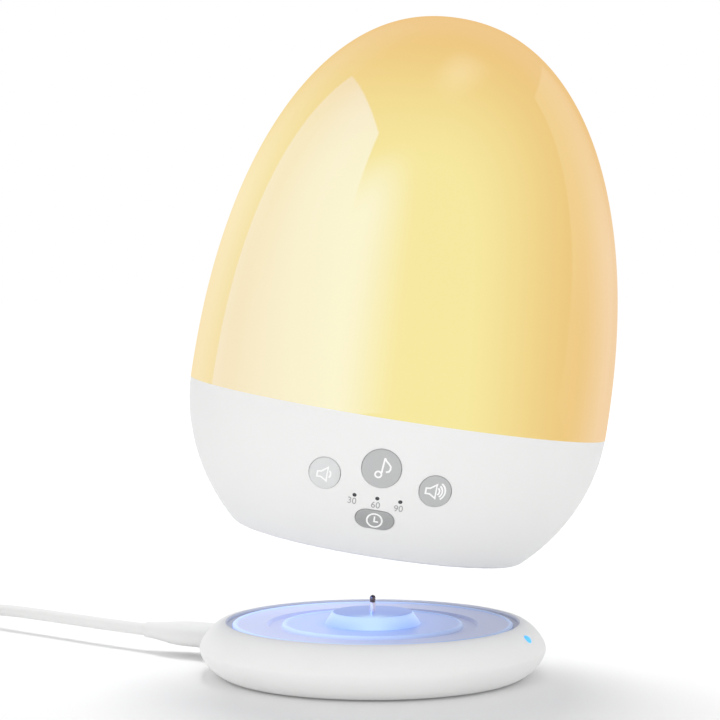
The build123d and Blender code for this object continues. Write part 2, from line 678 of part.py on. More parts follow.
def reflector_plate():
    plate = disc(REFLECTOR_RADIUS, LEDGE_TOP, REFLECTOR_TOP)
    plate -= disc(HARNESS_RADIUS + PIN_CLEARANCE, LEDGE_TOP, REFLECTOR_TOP, HARNESS_X, HARNESS_Y)
    return plate - [disc(SCREW_PILOT, LEDGE_TOP, REFLECTOR_TOP, x, y) for x, y in lamp_screw_spots()]


def lamp_board():
    board = disc(LAMP_BOARD_RADIUS, REFLECTOR_TOP, LAMP_BOARD_TOP)
    return board - [disc(SCREW_PILOT, REFLECTOR_TOP, LAMP_BOARD_TOP, x, y) for x, y in lamp_screw_spots()]


def lamp_board_screws():
    size = (BOARD_THICKNESS + REFLECTOR_THICKNESS, SCREW_HEAD_RADIUS)
    return [pan_screw(*size, x, y, LAMP_BOARD_TOP, upwards=False) for x, y in lamp_screw_spots()]


def lamp_leds():
    top = LAMP_BOARD_TOP + LAMP_HEIGHT
    spots = [around(angle, circle) for circle, count in LAMP_RINGS for angle in even(count)]
    return [block(LAMP_SIZE, LAMP_SIZE, LAMP_BOARD_TOP, top, x, y) for x, y in spots]


def lamp_harness():
    low = MAIN_BOARD_TOP + HARNESS_RADIUS
    high = LAMP_BOARD_TOP + 2 * HARNESS_BEND
    start_x = MAIN_BOARD_LENGTH / 2 - HARNESS_LANDING
    landing = (LAMP_BOARD_RADIUS - 2 * HARNESS_BEND, HARNESS_Y, LAMP_BOARD_TOP)
    points = [
        (start_x, HARNESS_Y, low),
        (HARNESS_X, HARNESS_Y, low),
        (HARNESS_X, HARNESS_Y, high),
        (landing[0], HARNESS_Y, high),
        landing,
    ]
    return wire(points, HARNESS_RADIUS)


# --- Dock -----------------------------------------------------------------------------------------
def quarter(r_in, r_out, z_widest, z_end, power, count=7):
    """Points of a rounded quarter from the widest line to its end, as a superellipse."""
    spots = []
    for i in range(count):
        angle = pi / 2 * i / (count - 1)
        across = cos(angle) ** (2 / power)
        along = sin(angle) ** (2 / power)
        spots.append((r_in + (r_out - r_in) * across, z_widest + (z_end - z_widest) * along))
    return spots


def dock_form(inset):
    """The dock's closed outer form, with its round flank and its top moved inwards by `inset`."""
    outer = DOCK_RADIUS - inset
    upper = quarter(DOCK_CREST - inset, outer, DOCK_WIDEST, DOCK_HEIGHT - inset, DOCK_UPPER_POWER)
    lower = quarter(DOCK_FOOT - inset, outer, DOCK_WIDEST, inset, DOCK_LOWER_POWER)
    edges = [
        Spline(*upper, tangents=[(0, 1), (-1, 0)]),
        Spline(*lower, tangents=[(0, -1), (-1, 0)]),
        Polyline(upper[-1], (0, upper[-1][1]), (0, lower[-1][1]), lower[-1]),
    ]
    return revolve(Plane.XZ * make_face(edges), Axis.Z)


DOCK_SOLID = dock_form(0)
DOCK_INSIDE = dock_form(DOCK_WALL)
DOCK_MID_WALL = dock_form(DOCK_WALL / 2)
PLUG_FRAME = Rot(0, 0, PLUG_ANGLE) * Pos(0, 0, PLUG_HEIGHT)


def bar_section(at, width, tall):
    """The rounded outline of a plug or socket, `at` this distance from the dock's middle."""
    outline = RectangleRounded(width, tall, tall / 2 - CORNER_FLAT)
    return Plane(origin=(at, 0, 0), x_dir=(0, 1, 0), z_dir=(1, 0, 0)) * outline


def lead_bar(near, far, width, tall):
    return PLUG_FRAME * extrude(bar_section(near, width, tall), amount=far - near)


def socket_opening():
    far = DOCK_RADIUS + OVERCUT
    grow = 2 * FIT_GAP
    return lead_bar(far - SOCKET_CUT, far, SOCKET_WIDTH + grow, SOCKET_TALL + grow)


def status_plane():
    near = quarter(DOCK_CREST, DOCK_RADIUS, DOCK_WIDEST, DOCK_HEIGHT, DOCK_UPPER_POWER, 200)
    r, z = min(near, key=lambda spot: abs(spot[1] - STATUS_HEIGHT))
    tall = DOCK_HEIGHT - DOCK_WIDEST
    slope_x = ((r - DOCK_CREST) / CREST_INSET) ** (DOCK_UPPER_POWER - 1) / CREST_INSET
    slope_z = ((z - DOCK_WIDEST) / tall) ** (DOCK_UPPER_POWER - 1) / tall
    out = Vector(slope_x, 0, slope_z).normalized()
    return Rot(0, 0, STATUS_ANGLE) * Plane(origin=(r, 0, z), x_dir=(0, 1, 0), z_dir=(out.X, 0, out.Z))


STATUS = status_plane()


def status_bore(radius, length):
    return STATUS * Pos(0, 0, -length) * Cylinder(radius, length + 2 * OVERCUT, align=CENTRE_BOTTOM)


def dock_boss_spots():
    return [around(DOCK_BOSS_TURN + angle, SEAT_INNER) for angle in even(4)]


def dock_post_spots():
    return [around(angle, DOCK_POST_CIRCLE) for angle in FOUR_CORNERS]


def dock_cover():
    seat_top = RECESS_Z - LIGHT_PLATE_THICKNESS
    seat_low = seat_top - SEAT_THICKNESS
    shell = within(DOCK_SOLID, DOCK_SPLIT, DOCK_HEIGHT) - DOCK_INSIDE
    shell += ring(SEAT_INNER, DOCK_RADIUS, seat_low, RECESS_Z) & DOCK_MID_WALL
    shell -= disc(RECESS_FLOOR, seat_top, DOCK_HEIGHT)
    shell -= Pos(0, 0, RECESS_Z) * Cone(RECESS_FLOOR, LIP_RADIUS, RECESS_DEPTH, align=CENTRE_BOTTOM)
    for x, y in dock_boss_spots():
        shell += disc(DOCK_BOSS_RADIUS, BASE_FLOOR_TOP, seat_low, x, y)
        shell -= disc(SCREW_PILOT, BASE_FLOOR_TOP, seat_low - OVERCUT, x, y)
    shell -= socket_opening()
    return shell - status_bore(STATUS_RADIUS + PIPE_GAP, STATUS_LENGTH + OVERCUT)


def dock_base():
    shell = within(DOCK_SOLID, PAD_STANDS, DOCK_SPLIT) - DOCK_INSIDE
    shell += within(DOCK_MID_WALL, PAD_STANDS, BASE_FLOOR_TOP)
    shell -= disc(PAD_RADIUS + FIT_GAP, 0, PAD_THICKNESS)
    for x, y in dock_boss_spots():
        shell -= disc(SCREW_RADIUS + FIT_GAP, 0, BASE_FLOOR_TOP, x, y)
        shell -= disc(SCREW_HEAD_RADIUS + FIT_GAP, 0, PAD_THICKNESS + SCREW_HEAD_HEIGHT, x, y)
    for x, y in dock_post_spots():
        shell += disc(POST_RADIUS, BASE_FLOOR_TOP, SOCKET_TOP, x, y)
        shell -= disc(SCREW_PILOT, BASE_FLOOR_TOP, SOCKET_TOP, x, y)
    return shell - socket_opening()


def base_pad():
    return disc(PAD_RADIUS, 0, PAD_THICKNESS)


def dock_screws():
    low = PAD_THICKNESS + SCREW_HEAD_HEIGHT
    return [pan_screw(DOCK_SCREW_LENGTH, SCREW_HEAD_RADIUS, x, y, low) for x, y in dock_boss_spots()]


def light_plate():
    low = RECESS_Z - LIGHT_PLATE_THICKNESS
    plate = disc(RECESS_FLOOR - FIT_GAP / 2, low, RECESS_Z) - disc(BOSS_STEM + FIT_GAP, low, RECESS_Z)
    groove_inner = LIGHT_GROOVE_RADIUS - LIGHT_GROOVE_WIDTH / 2
    groove_outer = LIGHT_GROOVE_RADIUS + LIGHT_GROOVE_WIDTH / 2
    return plate - ring(groove_inner, groove_outer, RECESS_Z - LIGHT_GROOVE_DEPTH, RECESS_Z)


def contact_boss():
    boss = Pos(0, 0, RECESS_Z) * Cone(BOSS_BASE, BOSS_TOP, BOSS_HEIGHT, align=CENTRE_BOTTOM)
    boss += disc(BOSS_STEM, DOCK_BOARD_TOP, RECESS_Z)
    return boss - disc(PIN_RADIUS, DOCK_BOARD_TOP, BOSS_Z)


def contact_sleeve():
    return ring(PIN_SLEEVE_BORE, PIN_RADIUS, DOCK_BOARD_TOP, PIN_TOP - PIN_DARK)


def contact_insulator():
    band_low = PIN_TOP - PIN_DARK
    liner = ring(PIN_CORE, PIN_SLEEVE_BORE, DOCK_BOARD_TOP, band_low)
    return liner + ring(PIN_CORE, PIN_RADIUS, band_low, band_low + PIN_BAND)


def contact_tip():
    low = PIN_TOP - PIN_DARK + PIN_BAND
    round_end = Pos(0, 0, PIN_TOP - PIN_RADIUS) * Sphere(PIN_RADIUS)
    return disc(PIN_RADIUS, low, PIN_TOP - PIN_RADIUS) + round_end + disc(PIN_CORE, DOCK_BOARD_TOP, low)


def dock_board():
    board = disc(DOCK_BOARD_RADIUS, SOCKET_TOP, DOCK_BOARD_TOP)
    reach = DOCK_RADIUS - DOCK_WALL - TAB_INSET
    for angle, width in ((PLUG_ANGLE, SOCKET_TAB_WIDTH), (STATUS_ANGLE, STATUS_TAB_WIDTH)):
        board += Rot(0, 0, angle) * block(reach, width, SOCKET_TOP, DOCK_BOARD_TOP, reach / 2)
    return board - [disc(SCREW_PILOT, SOCKET_TOP, DOCK_BOARD_TOP, x, y) for x, y in dock_post_spots()]


def dock_board_screws():
    size = (DOCK_BOARD_SCREW_LENGTH, SCREW_HEAD_RADIUS)
    return [pan_screw(*size, x, y, DOCK_BOARD_TOP, upwards=False) for x, y in dock_post_spots()]


def dock_leds():
    low = DOCK_BOARD_TOP
    spots = [around(angle, DOCK_LED_CIRCLE) for angle in even(DOCK_LED_COUNT)]
    chips = [block(DOCK_LED_SIZE, DOCK_LED_SIZE, low, low + DOCK_LED_HEIGHT, x, y) for x, y in spots]
    foot = STATUS.origin - STATUS.z_dir * (STATUS_LENGTH + STATUS_RADIUS)
    status = block(STATUS_LED_SIZE, STATUS_LED_SIZE, low, low + STATUS_LED_HEIGHT, foot.X, foot.Y)
    return chips + [status]


def usb_socket():
    far = DOCK_RADIUS - DOCK_WALL - SOCKET_INSET
    near = far - SOCKET_DEPTH
    inner_width = SOCKET_WIDTH - 2 * SOCKET_WALL
    inner_tall = SOCKET_TALL - 2 * SOCKET_WALL
    body = lead_bar(near, far, SOCKET_WIDTH, SOCKET_TALL)
    return body - lead_bar(near + SOCKET_BACK, far, inner_width, inner_tall)


def ballast_plate():
    top = BASE_FLOOR_TOP + BALLAST_THICKNESS
    plate = ring(BALLAST_INNER, DOCK_BOARD_RADIUS, BASE_FLOOR_TOP, top)
    holes = [disc(POST_RADIUS + FIT_GAP, BASE_FLOOR_TOP, top, x, y) for x, y in dock_post_spots()]
    return plate - holes


def status_light_pipe():
    return status_bore(STATUS_RADIUS, STATUS_LENGTH) & DOCK_SOLID


# --- Lead -----------------------------------------------------------------------------------------
GRIP_START = DOCK_RADIUS + GRIP_GAP
GRIP_END = GRIP_START + GRIP_LENGTH


def plug_shell():
    return lead_bar(DOCK_RADIUS - DOCK_WALL - SHELL_INSERT, GRIP_START, SHELL_WIDTH, SHELL_TALL)


def plug_overmould():
    """A flat rounded grip that tapers down to the lead."""
    straight_end = GRIP_START + GRIP_STRAIGHT
    grip = lead_bar(GRIP_START, straight_end, GRIP_WIDTH, GRIP_TALL)
    neck = LEAD_DIAMETER + NECK_GROWTH
    taper = loft([bar_section(straight_end, GRIP_WIDTH, GRIP_TALL), bar_section(GRIP_END, neck, neck)])
    return grip + PLUG_FRAME * taper


LEAD_EXIT = (*around(PLUG_ANGLE, GRIP_END), PLUG_HEIGHT)
FLOOR_LINE = LEAD_DIAMETER / 2
COIL_MEET = COIL_TURN_RADIUS + LEAD_DIAMETER
COIL_ENTRY = Vector(COIL_X, COIL_Y) + Vector(*around(COIL_ENTRY_ANGLE, COIL_MEET))
LEAD_ROUTE = [
    LEAD_EXIT,
    (-74.5, 44.6, 6.2),
    (-98.9, 66.3, 6.1),
    (-118.0, 82.7, 5.9),
    (-128.5, 91.8, 3.4),
    (COIL_ENTRY.X, COIL_ENTRY.Y, FLOOR_LINE),
]


def unit_vector(a, b):
    return (Vector(b) - Vector(a)).normalized()


def bend_radii(points):
    radii = []
    for before, here, after in zip(points, points[1:], points[2:]):
        turn = radians(unit_vector(before, here).get_angle(unit_vector(here, after)))
        run = min((Vector(here) - Vector(before)).length, (Vector(after) - Vector(here)).length)
        radii.append(RUN_SHARE * run / tan(turn / 2))
    return radii


def lead_tube(points):
    radii = bend_radii(points)
    path = FilletPolyline(*points, radius=radii) if radii else Line(*points)
    tube = sweep(Plane(origin=path @ 0, z_dir=path % 0) * Circle(LEAD_DIAMETER / 2), path=path)
    expected = pi * (LEAD_DIAMETER / 2) ** 2 * path.length
    print("tube length", round(path.length, 1), "volume ratio", round(tube.volume / expected, 4))
    print("bend radii", [round(r, 1) for r in radii])
    return tube, path.length


COIL_INNER = COIL_TURN_RADIUS - COIL_BUNDLE_WIDTH / 2
COIL_OUTER = COIL_TURN_RADIUS + COIL_BUNDLE_WIDTH / 2
TAIL_START = (COIL_X - COIL_MEET, COIL_Y, FLOOR_LINE)
TAIL_END = (TAIL_START[0] - 1, COIL_Y - TAIL_LENGTH, FAR_GRIP_TALL / 2)


def lead_tie():
    """A soft strap round the bundle of turns."""
    across = COIL_BUNDLE_WIDTH + 2 * TIE_THICKNESS + TIE_SLACK
    tall = COIL_BUNDLE_HEIGHT + TIE_THICKNESS
    outer = Pos(COIL_TURN_RADIUS, 0, 0) * Box(across, TIE_WIDTH, tall, align=CENTRE_BOTTOM)
    inner_tall = tall - 2 * TIE_THICKNESS
    inner = Pos(COIL_TURN_RADIUS, 0, TIE_THICKNESS)
    inner *= Box(across - 2 * TIE_THICKNESS, TIE_WIDTH, inner_tall, align=CENTRE_BOTTOM)
    return Pos(COIL_X, COIL_Y, 0) * Rot(0, 0, TIE_ANGLE) * (outer - inner)


def lead_coil():
    turns = ring(COIL_INNER, COIL_OUTER, 0, COIL_BUNDLE_HEIGHT, COIL_X, COIL_Y)
    turns = fillet(turns.edges().filter_by(GeomType.CIRCLE), COIL_BUNDLE_WIDTH / 4)
    return turns - lead_tie()


def far_plug_frame():
    heading = unit_vector(TAIL_START[:2] + (0,), TAIL_END[:2] + (0,))
    return Plane(origin=TAIL_END, x_dir=(0, 0, 1), z_dir=tuple(heading))


def far_plug_grip():
    outline = RectangleRounded(FAR_GRIP_TALL, FAR_GRIP_WIDTH, FAR_GRIP_CORNER)
    return far_plug_frame() * extrude(outline, amount=FAR_GRIP_LENGTH)


def far_plug_shell():
    """An open metal shell with its contact tongue along one side."""
    inner_tall = FAR_SHELL_TALL - 2 * FAR_SHELL_WALL - FAR_TONGUE
    inner_width = FAR_SHELL_WIDTH - 2 * FAR_SHELL_WALL
    inner = Box(inner_tall, inner_width, FAR_SHELL_LENGTH, align=CENTRE_BOTTOM)
    shell = Box(FAR_SHELL_TALL, FAR_SHELL_WIDTH, FAR_SHELL_LENGTH, align=CENTRE_BOTTOM)
    shell -= Pos(FAR_TONGUE / 2, 0, FAR_SHELL_FLOOR) * inner
    return far_plug_frame() * Pos(0, 0, FAR_GRIP_LENGTH) * shell


# --- Setting the egg over the dock ----------------------------------------------------------------
LIFTED = Pos(SIDE_SHIFT, 0, LIFTED_HEIGHT) * Rot(0, LEAN, 0) * Rot(0, 0, TURN)


def lift_pivot():
    """The one axis, far to the right, that carries the egg from the dock to its lifted place."""
    lean = radians(LEAN)
    x = (LIFT * sin(lean) + SIDE_SHIFT * (1 - cos(lean))) / (2 * (1 - cos(lean)))
    rise = (LIFT * (1 - cos(lean)) - SIDE_SHIFT * sin(lean)) / (2 * (1 - cos(lean)))
    return x, DOCKED_HEIGHT + rise


def save(name, shape):
    solids = shape if isinstance(shape, list) else [shape]
    solids = [solid for piece in solids for solid in piece.solids()]
    export_step(Compound(children=solids) if len(solids) > 1 else solids[0], f"parts/{name}.step")


EGG_PIECES = {
    "diffuser_dome": diffuser_dome,
    "lower_housing": lower_housing,
    "bottom_cover": bottom_cover,
    "foot_ring": foot_ring,
    "cover_screws": cover_screws,
    "button_board": button_board,
    "button_board_screws": button_board_screws,
    "tact_switches": lambda: [switch(spot) for spot, _ in BUTTONS.values()],
    "timer_leds": timer_leds,
    "timer_light_pipes": timer_light_pipes,
    "speaker_frame": speaker_frame,
    "speaker_magnet": speaker_magnet,
    "speaker_cone": speaker_cone,
    "speaker_gasket": speaker_gasket,
    "speaker_retainer": speaker_retainer,
    "speaker_leads": speaker_leads,
    "main_board": main_board,
    "main_board_screws": main_board_screws,
    "sound_chips": sound_chips,
    "charging_jack": charging_jack,
    "battery": battery,
    "battery_cradle": battery_cradle,
    "cradle_screws": cradle_screws,
    "reflector_plate": reflector_plate,
    "lamp_board": lamp_board,
    "lamp_board_screws": lamp_board_screws,
    "lamp_leds": lamp_leds,
    "lamp_harness": lamp_harness,
}

DOCK_PIECES = {
    "dock_cover": dock_cover,
    "dock_base": dock_base,
    "base_pad": base_pad,
    "dock_screws": dock_screws,
    "light_plate": light_plate,
    "contact_boss": contact_boss,
    "contact_sleeve": contact_sleeve,
    "contact_insulator": contact_insulator,
    "contact_tip": contact_tip,
    "dock_board": dock_board,
    "dock_board_screws": dock_board_screws,
    "dock_leds": dock_leds,
    "usb_socket": usb_socket,
    "ballast_plate": ballast_plate,
    "status_light_pipe": status_light_pipe,
    "plug_shell": plug_shell,
    "plug_overmould": plug_overmould,
    "lead_coil": lead_coil,
    "lead_tie": lead_tie,
    "far_plug_grip": far_plug_grip,
    "far_plug_shell": far_plug_shell,
}


def main():
    os.makedirs("parts", exist_ok=True)
    for name, make in EGG_PIECES.items():
        shape = make()
        solids = shape if isinstance(shape, list) else [shape]
        save(name, [LIFTED * solid for solid in solids])
    for name, (spot, outline) in BUTTONS.items():
        save(name, LIFTED * button(spot, outline))
    for name, make in DOCK_PIECES.items():
        save(name, make())
    tube, tube_length = lead_tube(LEAD_ROUTE)
    tail, tail_length = lead_tube([TAIL_START, TAIL_END])
    save("lead", tube)
    save("lead_tail", tail)
    coil_length = LEAD_LENGTH - tube_length - tail_length
    print("coil turns", round(coil_length / (2 * pi * COIL_TURN_RADIUS), 3))
    print("lift pivot, x and z", lift_pivot())


main()
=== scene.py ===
import json
from math import asin, atan2, ceil, cos, degrees, hypot, pi, prod, radians, sin, sqrt

import bmesh
import bpy
from bpy.props import FloatProperty, FloatVectorProperty, IntProperty, PointerProperty
from mathutils import Matrix, Vector
from mathutils.geometry import delaunay_2d_cdt


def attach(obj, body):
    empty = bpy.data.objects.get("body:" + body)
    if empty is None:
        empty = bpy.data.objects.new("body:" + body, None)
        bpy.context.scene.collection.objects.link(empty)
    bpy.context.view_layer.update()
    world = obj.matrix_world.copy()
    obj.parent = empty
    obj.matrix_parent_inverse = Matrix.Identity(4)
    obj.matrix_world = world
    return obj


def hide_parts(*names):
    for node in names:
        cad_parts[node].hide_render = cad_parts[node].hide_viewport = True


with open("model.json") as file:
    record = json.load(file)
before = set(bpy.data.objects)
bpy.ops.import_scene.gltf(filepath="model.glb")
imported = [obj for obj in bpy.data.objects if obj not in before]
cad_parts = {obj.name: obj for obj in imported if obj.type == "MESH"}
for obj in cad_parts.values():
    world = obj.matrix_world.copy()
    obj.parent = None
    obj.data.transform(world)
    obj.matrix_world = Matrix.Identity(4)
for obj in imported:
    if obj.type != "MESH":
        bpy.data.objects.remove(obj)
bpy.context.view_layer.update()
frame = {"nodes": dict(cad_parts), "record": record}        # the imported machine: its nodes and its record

bl_info = {
    "name": "White Noise Sound Machine",
    "version": (1, 0, 0),
    "blender": (4, 5, 0),
    "location": "View3D > Sidebar > Sound Machine",
    "description": "Dresses an egg-shaped night light and speaker, its charging dock and its lead",
    "category": "Object",
}

MM = 0.001
AT_ORIGIN = Matrix.Identity(4)

# The egg's outline: an ellipsoid of revolution below its widest line, a superellipse above it.
EGG_RADIUS = 58 * MM
EGG_HEIGHT = 146 * MM
WIDEST = 39.1 * MM
LOWER_REACH = 53.9 * MM
CROWN_POWER = 2.19
SEAM = 37.6 * MM
SHELL_FOOT = 0.7 * MM
SHELL_WALL = 2.2 * MM
COVER_SEAT = 37.2 * MM
COVER_THICKNESS = 2.4 * MM
REFLECTOR_TOP = 35 * MM
SKIRT_INNER = 53.4 * MM
SKIRT_OUTER = 55.1 * MM

# Where the egg hangs over its dock: it leans to the right and is turned a little.
LEAN = radians(8.83)
TURN = radians(-3.15)
EGG_PLACE = (
    Matrix.Translation((1.2 * MM, 0, 37.4 * MM))
    @ Matrix.Rotation(LEAN, 4, "Y")
    @ Matrix.Rotation(TURN, 4, "Z")
)
DOME_MIDDLE = Vector((8 * MM, 0, 115 * MM))

# The button panel: a flat frame whose third axis points out through the front of the shell.
PANEL_DIP = radians(24)
PANEL_HEIGHT = 17.6 * MM
PANEL_REACH = 20 * MM
CAP_BACK = -3.2 * MM
DOT_RADIUS = 0.5 * MM
DOT_EDGE = 0.03 * MM

# The speaker's grille, in the back of the shell.
GRILLE_HEIGHT = 15 * MM
GRILLE_RINGS = 3
GRILLE_PITCH = 3 * MM
GRILLE_HOLE = 0.65 * MM
GRILLE_EDGE = 0.12 * MM

# The dock: a round flank that is a superellipse above and below its widest line.
DOCK_RADIUS = 48.2 * MM
DOCK_WIDEST = 7.7 * MM
DOCK_HEIGHT = 14.9 * MM
DOCK_CREST = 41.6 * MM
DOCK_FOOT = 39.9 * MM
DOCK_UPPER_POWER = 1.5
DOCK_LOWER_POWER = 1.6
DOCK_SPLIT = 5.2 * MM
LIP_RADIUS = 40.6 * MM
RECESS_RADIUS = 39.1 * MM
RECESS_FLOOR = 13.4 * MM
PLATE_TOP = 14.2 * MM
PLATE_UNDERSIDE = 11.95 * MM
PLATE_RIM = 39 * MM
CHANNEL_INNER = 25.2 * MM
CHANNEL_OUTER = 28.8 * MM
PLATE_LINE = 24.6 * MM
BOSS_STEM = 8 * MM
BOSS_BASE = 13.5 * MM
BOSS_SHOULDER = 11.4 * MM
BOSS_TOP = 17.5 * MM
PIN_RADIUS = 0.8 * MM
PIN_TOP = 22.1 * MM
PIN_BAND = 20.1 * MM
STATUS_ANGLE = radians(-22.8)
STATUS_HEIGHT = 12.5 * MM
STATUS_RADIUS = 1.3 * MM

# The screws that show from below.
COVER_SCREW_CIRCLE = 32.5 * MM
COVER_SCREW_SEAT = 1.1 * MM
DOCK_SCREW_CIRCLE = 36 * MM
DOCK_SCREW_SEAT = 2.4 * MM

# The lead, and where it lies.
PLUG_ANGLE = radians(149.5)
PLUG_HEIGHT = 6.2 * MM
GRIP_START = 48.5 * MM
GRIP_END = 77.5 * MM
GRIP_STRAIGHT = 11 * MM
GRIP_WIDTH = 11.6 * MM
GRIP_TALL = 6.4 * MM
GRIP_NECK = 4.5 * MM
LEAD_DIAMETER = 3.5 * MM
FLOOR_LINE = LEAD_DIAMETER / 2
COIL_CENTRE = Vector((-154 * MM, 84 * MM, 0))
COIL_TURNS = 7
COIL_MEET = 22.5 * MM
COIL_ENTRY_ANGLE = radians(50)
COIL_EXIT_ANGLE = radians(180)
SEAT_CHANGE = radians(75)
BUNDLE_RADIUS = 19 * MM
BUNDLE_HEIGHT = 5.3 * MM
STRAP_ANGLE = radians(300)

# The stage. The pieces named here show the cards of light.
CAMERA_PLACE = (-3.524 * MM, -641.58 * MM, 114.095 * MM)
CAMERA_DIP = radians(2.366)
CAMERA_LENS = 115.72
FLOOR_REACH = 6.0
POLISHED = ("glow_dome", "pin_sleeve", "pin_tip")


# --- Outlines ------------------------------------------------------------------------------------
def steps(first, last, count):
    return [first + (last - first) * i / (count - 1) for i in range(count)]


def round_angles(count):
    return [2 * pi * i / count for i in range(count)]


def smooth_step(share):
    share = min(1.0, max(0.0, share))
    return share * share * (3 - 2 * share)


def scaled(points):
    """Millimetres to metres, for points or for stations of a loft."""
    return [tuple(value * MM for value in point) for point in points]


def arc(centre, radius, first, last, count):
    """Points of an arc between two angles in degrees."""
    angles = [radians(a) for a in steps(first, last, count)]
    return [(centre[0] + radius * cos(a), centre[1] + radius * sin(a)) for a in angles]


def lower_egg(dip):
    return EGG_RADIUS * cos(dip), WIDEST - LOWER_REACH * sin(dip)


def crown_egg(rise):
    across = max(0.0, cos(rise)) ** (2 / CROWN_POWER)
    return EGG_RADIUS * across, WIDEST + (EGG_HEIGHT - WIDEST) * sin(rise) ** (2 / CROWN_POWER)


def dip_at(height):
    return asin((WIDEST - height) / LOWER_REACH)


def egg_radius_at(height):
    return EGG_RADIUS * sqrt(1 - ((WIDEST - height) / LOWER_REACH) ** 2)


def flank(angle, inner, end, power):
    """A rounded quarter of the dock, from its widest line to its crest or its foot."""
    across = max(0.0, cos(angle)) ** (2 / power)
    along = max(0.0, sin(angle)) ** (2 / power)
    return inner + (DOCK_RADIUS - inner) * across, DOCK_WIDEST + (end - DOCK_WIDEST) * along


def upper_flank(angle):
    return flank(angle, DOCK_CREST, DOCK_HEIGHT, DOCK_UPPER_POWER)


def lower_flank(angle):
    return flank(angle, DOCK_FOOT, 0, DOCK_LOWER_POWER)


def lower_flank_angle(height):
    share = (DOCK_WIDEST - height) / DOCK_WIDEST
    return asin(share ** (DOCK_LOWER_POWER / 2))


class Profile:
    """A line of (r, z) points that a form of revolution is turned from, measured along itself."""

    def __init__(self, points):
        self.points = [Vector(p) for p in points]
        self.marks = [0.0]
        for a, b in zip(self.points, self.points[1:]):
            self.marks.append(self.marks[-1] + (b - a).length)
        self.length = self.marks[-1]

    def span(self, mark):
        """The segment at a mark, and the share of the way along it."""
        last = len(self.points) - 2
        i = next((i for i in range(last) if self.marks[i + 1] >= mark), last)
        return i, (mark - self.marks[i]) / (self.marks[i + 1] - self.marks[i])

    def at(self, mark):
        i, share = self.span(mark)
        return self.points[i].lerp(self.points[i + 1], share)

    def normal(self, mark):
        """Outwards: to the right of the way along the line."""
        i, share = self.span(mark)
        ends = [(min(k + 1, len(self.points) - 1), max(k - 1, 0)) for k in (i, i + 1)]
        ways = [(self.points[after] - self.points[before]).normalized() for after, before in ends]
        way = ways[0].lerp(ways[1], share).normalized()
        return Vector((way.y, -way.x))

    def under(self, mark, depth):
        return self.at(mark) - self.normal(mark) * depth

    def nearest(self, point):
        best = (1e9, 0.0)
        for i, (a, b) in enumerate(zip(self.points, self.points[1:])):
            run = b - a
            share = min(1.0, max(0.0, (point - a).dot(run) / run.length_squared))
            gap = (a + run * share - point).length
            best = min(best, (gap, self.marks[i] + share * run.length))
        return best[1]


# --- Places --------------------------------------------------------------------------------------
def turned(radius, height, turn):
    """A point of a form of revolution. A turn of zero faces the front, -Y."""
    return Vector((radius * sin(turn), -radius * cos(turn), height))


def frame_at(spot, across, out):
    """A frame at a spot, whose first axis is `across` and whose third axis is `out`."""
    made = Matrix((across, out.cross(across), out)).transposed().to_4x4()
    made.translation = spot
    return made


def shell_point(height, angle=0.0):
    return turned(egg_radius_at(height), height, radians(angle))


PANEL = frame_at(shell_point(PANEL_HEIGHT), Vector((1, 0, 0)), Vector((0, -cos(PANEL_DIP), -sin(PANEL_DIP))))


def on_panel(height, angle=0.0):
    spot = PANEL.inverted() @ shell_point(height, angle)
    return spot.x, spot.y


def grille_frame():
    r = egg_radius_at(GRILLE_HEIGHT)
    drop = atan2((WIDEST - GRILLE_HEIGHT) / LOWER_REACH**2, r / EGG_RADIUS**2)
    return frame_at(Vector((0, r, GRILLE_HEIGHT)), Vector((-1, 0, 0)), Vector((0, cos(drop), -sin(drop))))


def inside_egg(point, inset):
    radius = EGG_RADIUS - inset
    reach = LOWER_REACH - inset
    return (point.x**2 + point.y**2) / radius**2 + ((point.z - WIDEST) / reach) ** 2 < 1


def cast(flat, x, y, proud=0.0, reach=PANEL_REACH):
    """Where the line out through (x, y) of a flat frame leaves the lower egg, or stands `proud` of it."""
    start = flat @ Vector((x, y, -reach))
    way = flat.col[2].to_3d()
    near, far = 0.0, 2 * reach
    for _ in range(40):
        middle = (near + far) / 2
        if inside_egg(start + way * middle, -proud):
            near = middle
        else:
            far = middle
    return start + way * near


def oval(spot, long_radius, short_radius, tilt=0.0, count=72):
    """An ellipse round `spot`, for any growth. Its long radius lies at `tilt` degrees."""
    def points(grow):
        flat = [((long_radius + grow) * cos(a), (short_radius + grow) * sin(a)) for a in round_angles(count)]
        along, aside = cos(radians(tilt)), sin(radians(tilt))
        return [(x * along - y * aside + spot[0], x * aside + y * along + spot[1]) for x, y in flat]
    return points


def round_ended(spot, length, width):
    """Two half circles with straight sides between them, for any growth."""
    def points(grow):
        found = []
        for side in (1, -1):
            middle = (side * (length - width) / 2 + spot[0], spot[1])
            found += arc(middle, width / 2 + grow, -90 * side, 180 - 90 * side, 36)
        return found
    return points


TUNE_SPOT = on_panel(24.6 * MM)
VOLUME_DOWN_SPOT = on_panel(21.0 * MM, -15.2)
VOLUME_UP_SPOT = on_panel(20.75 * MM, 15.2)
TIMER_SPOT = on_panel(10.85 * MM)
DOT_SPOTS = [on_panel(16.7 * MM, angle) for angle in (-6.45, 0, 6.45)]
BUTTONS = {
    "volume_down_button": oval(VOLUME_DOWN_SPOT, 4.7 * MM, 4.1 * MM, 63),
    "tune_button": oval(TUNE_SPOT, 5.35 * MM, 5.2 * MM, 84),
    "volume_up_button": oval(VOLUME_UP_SPOT, 4.65 * MM, 4.15 * MM, 111),
    "timer_button": round_ended(TIMER_SPOT, 10.3 * MM, 6.2 * MM),
}


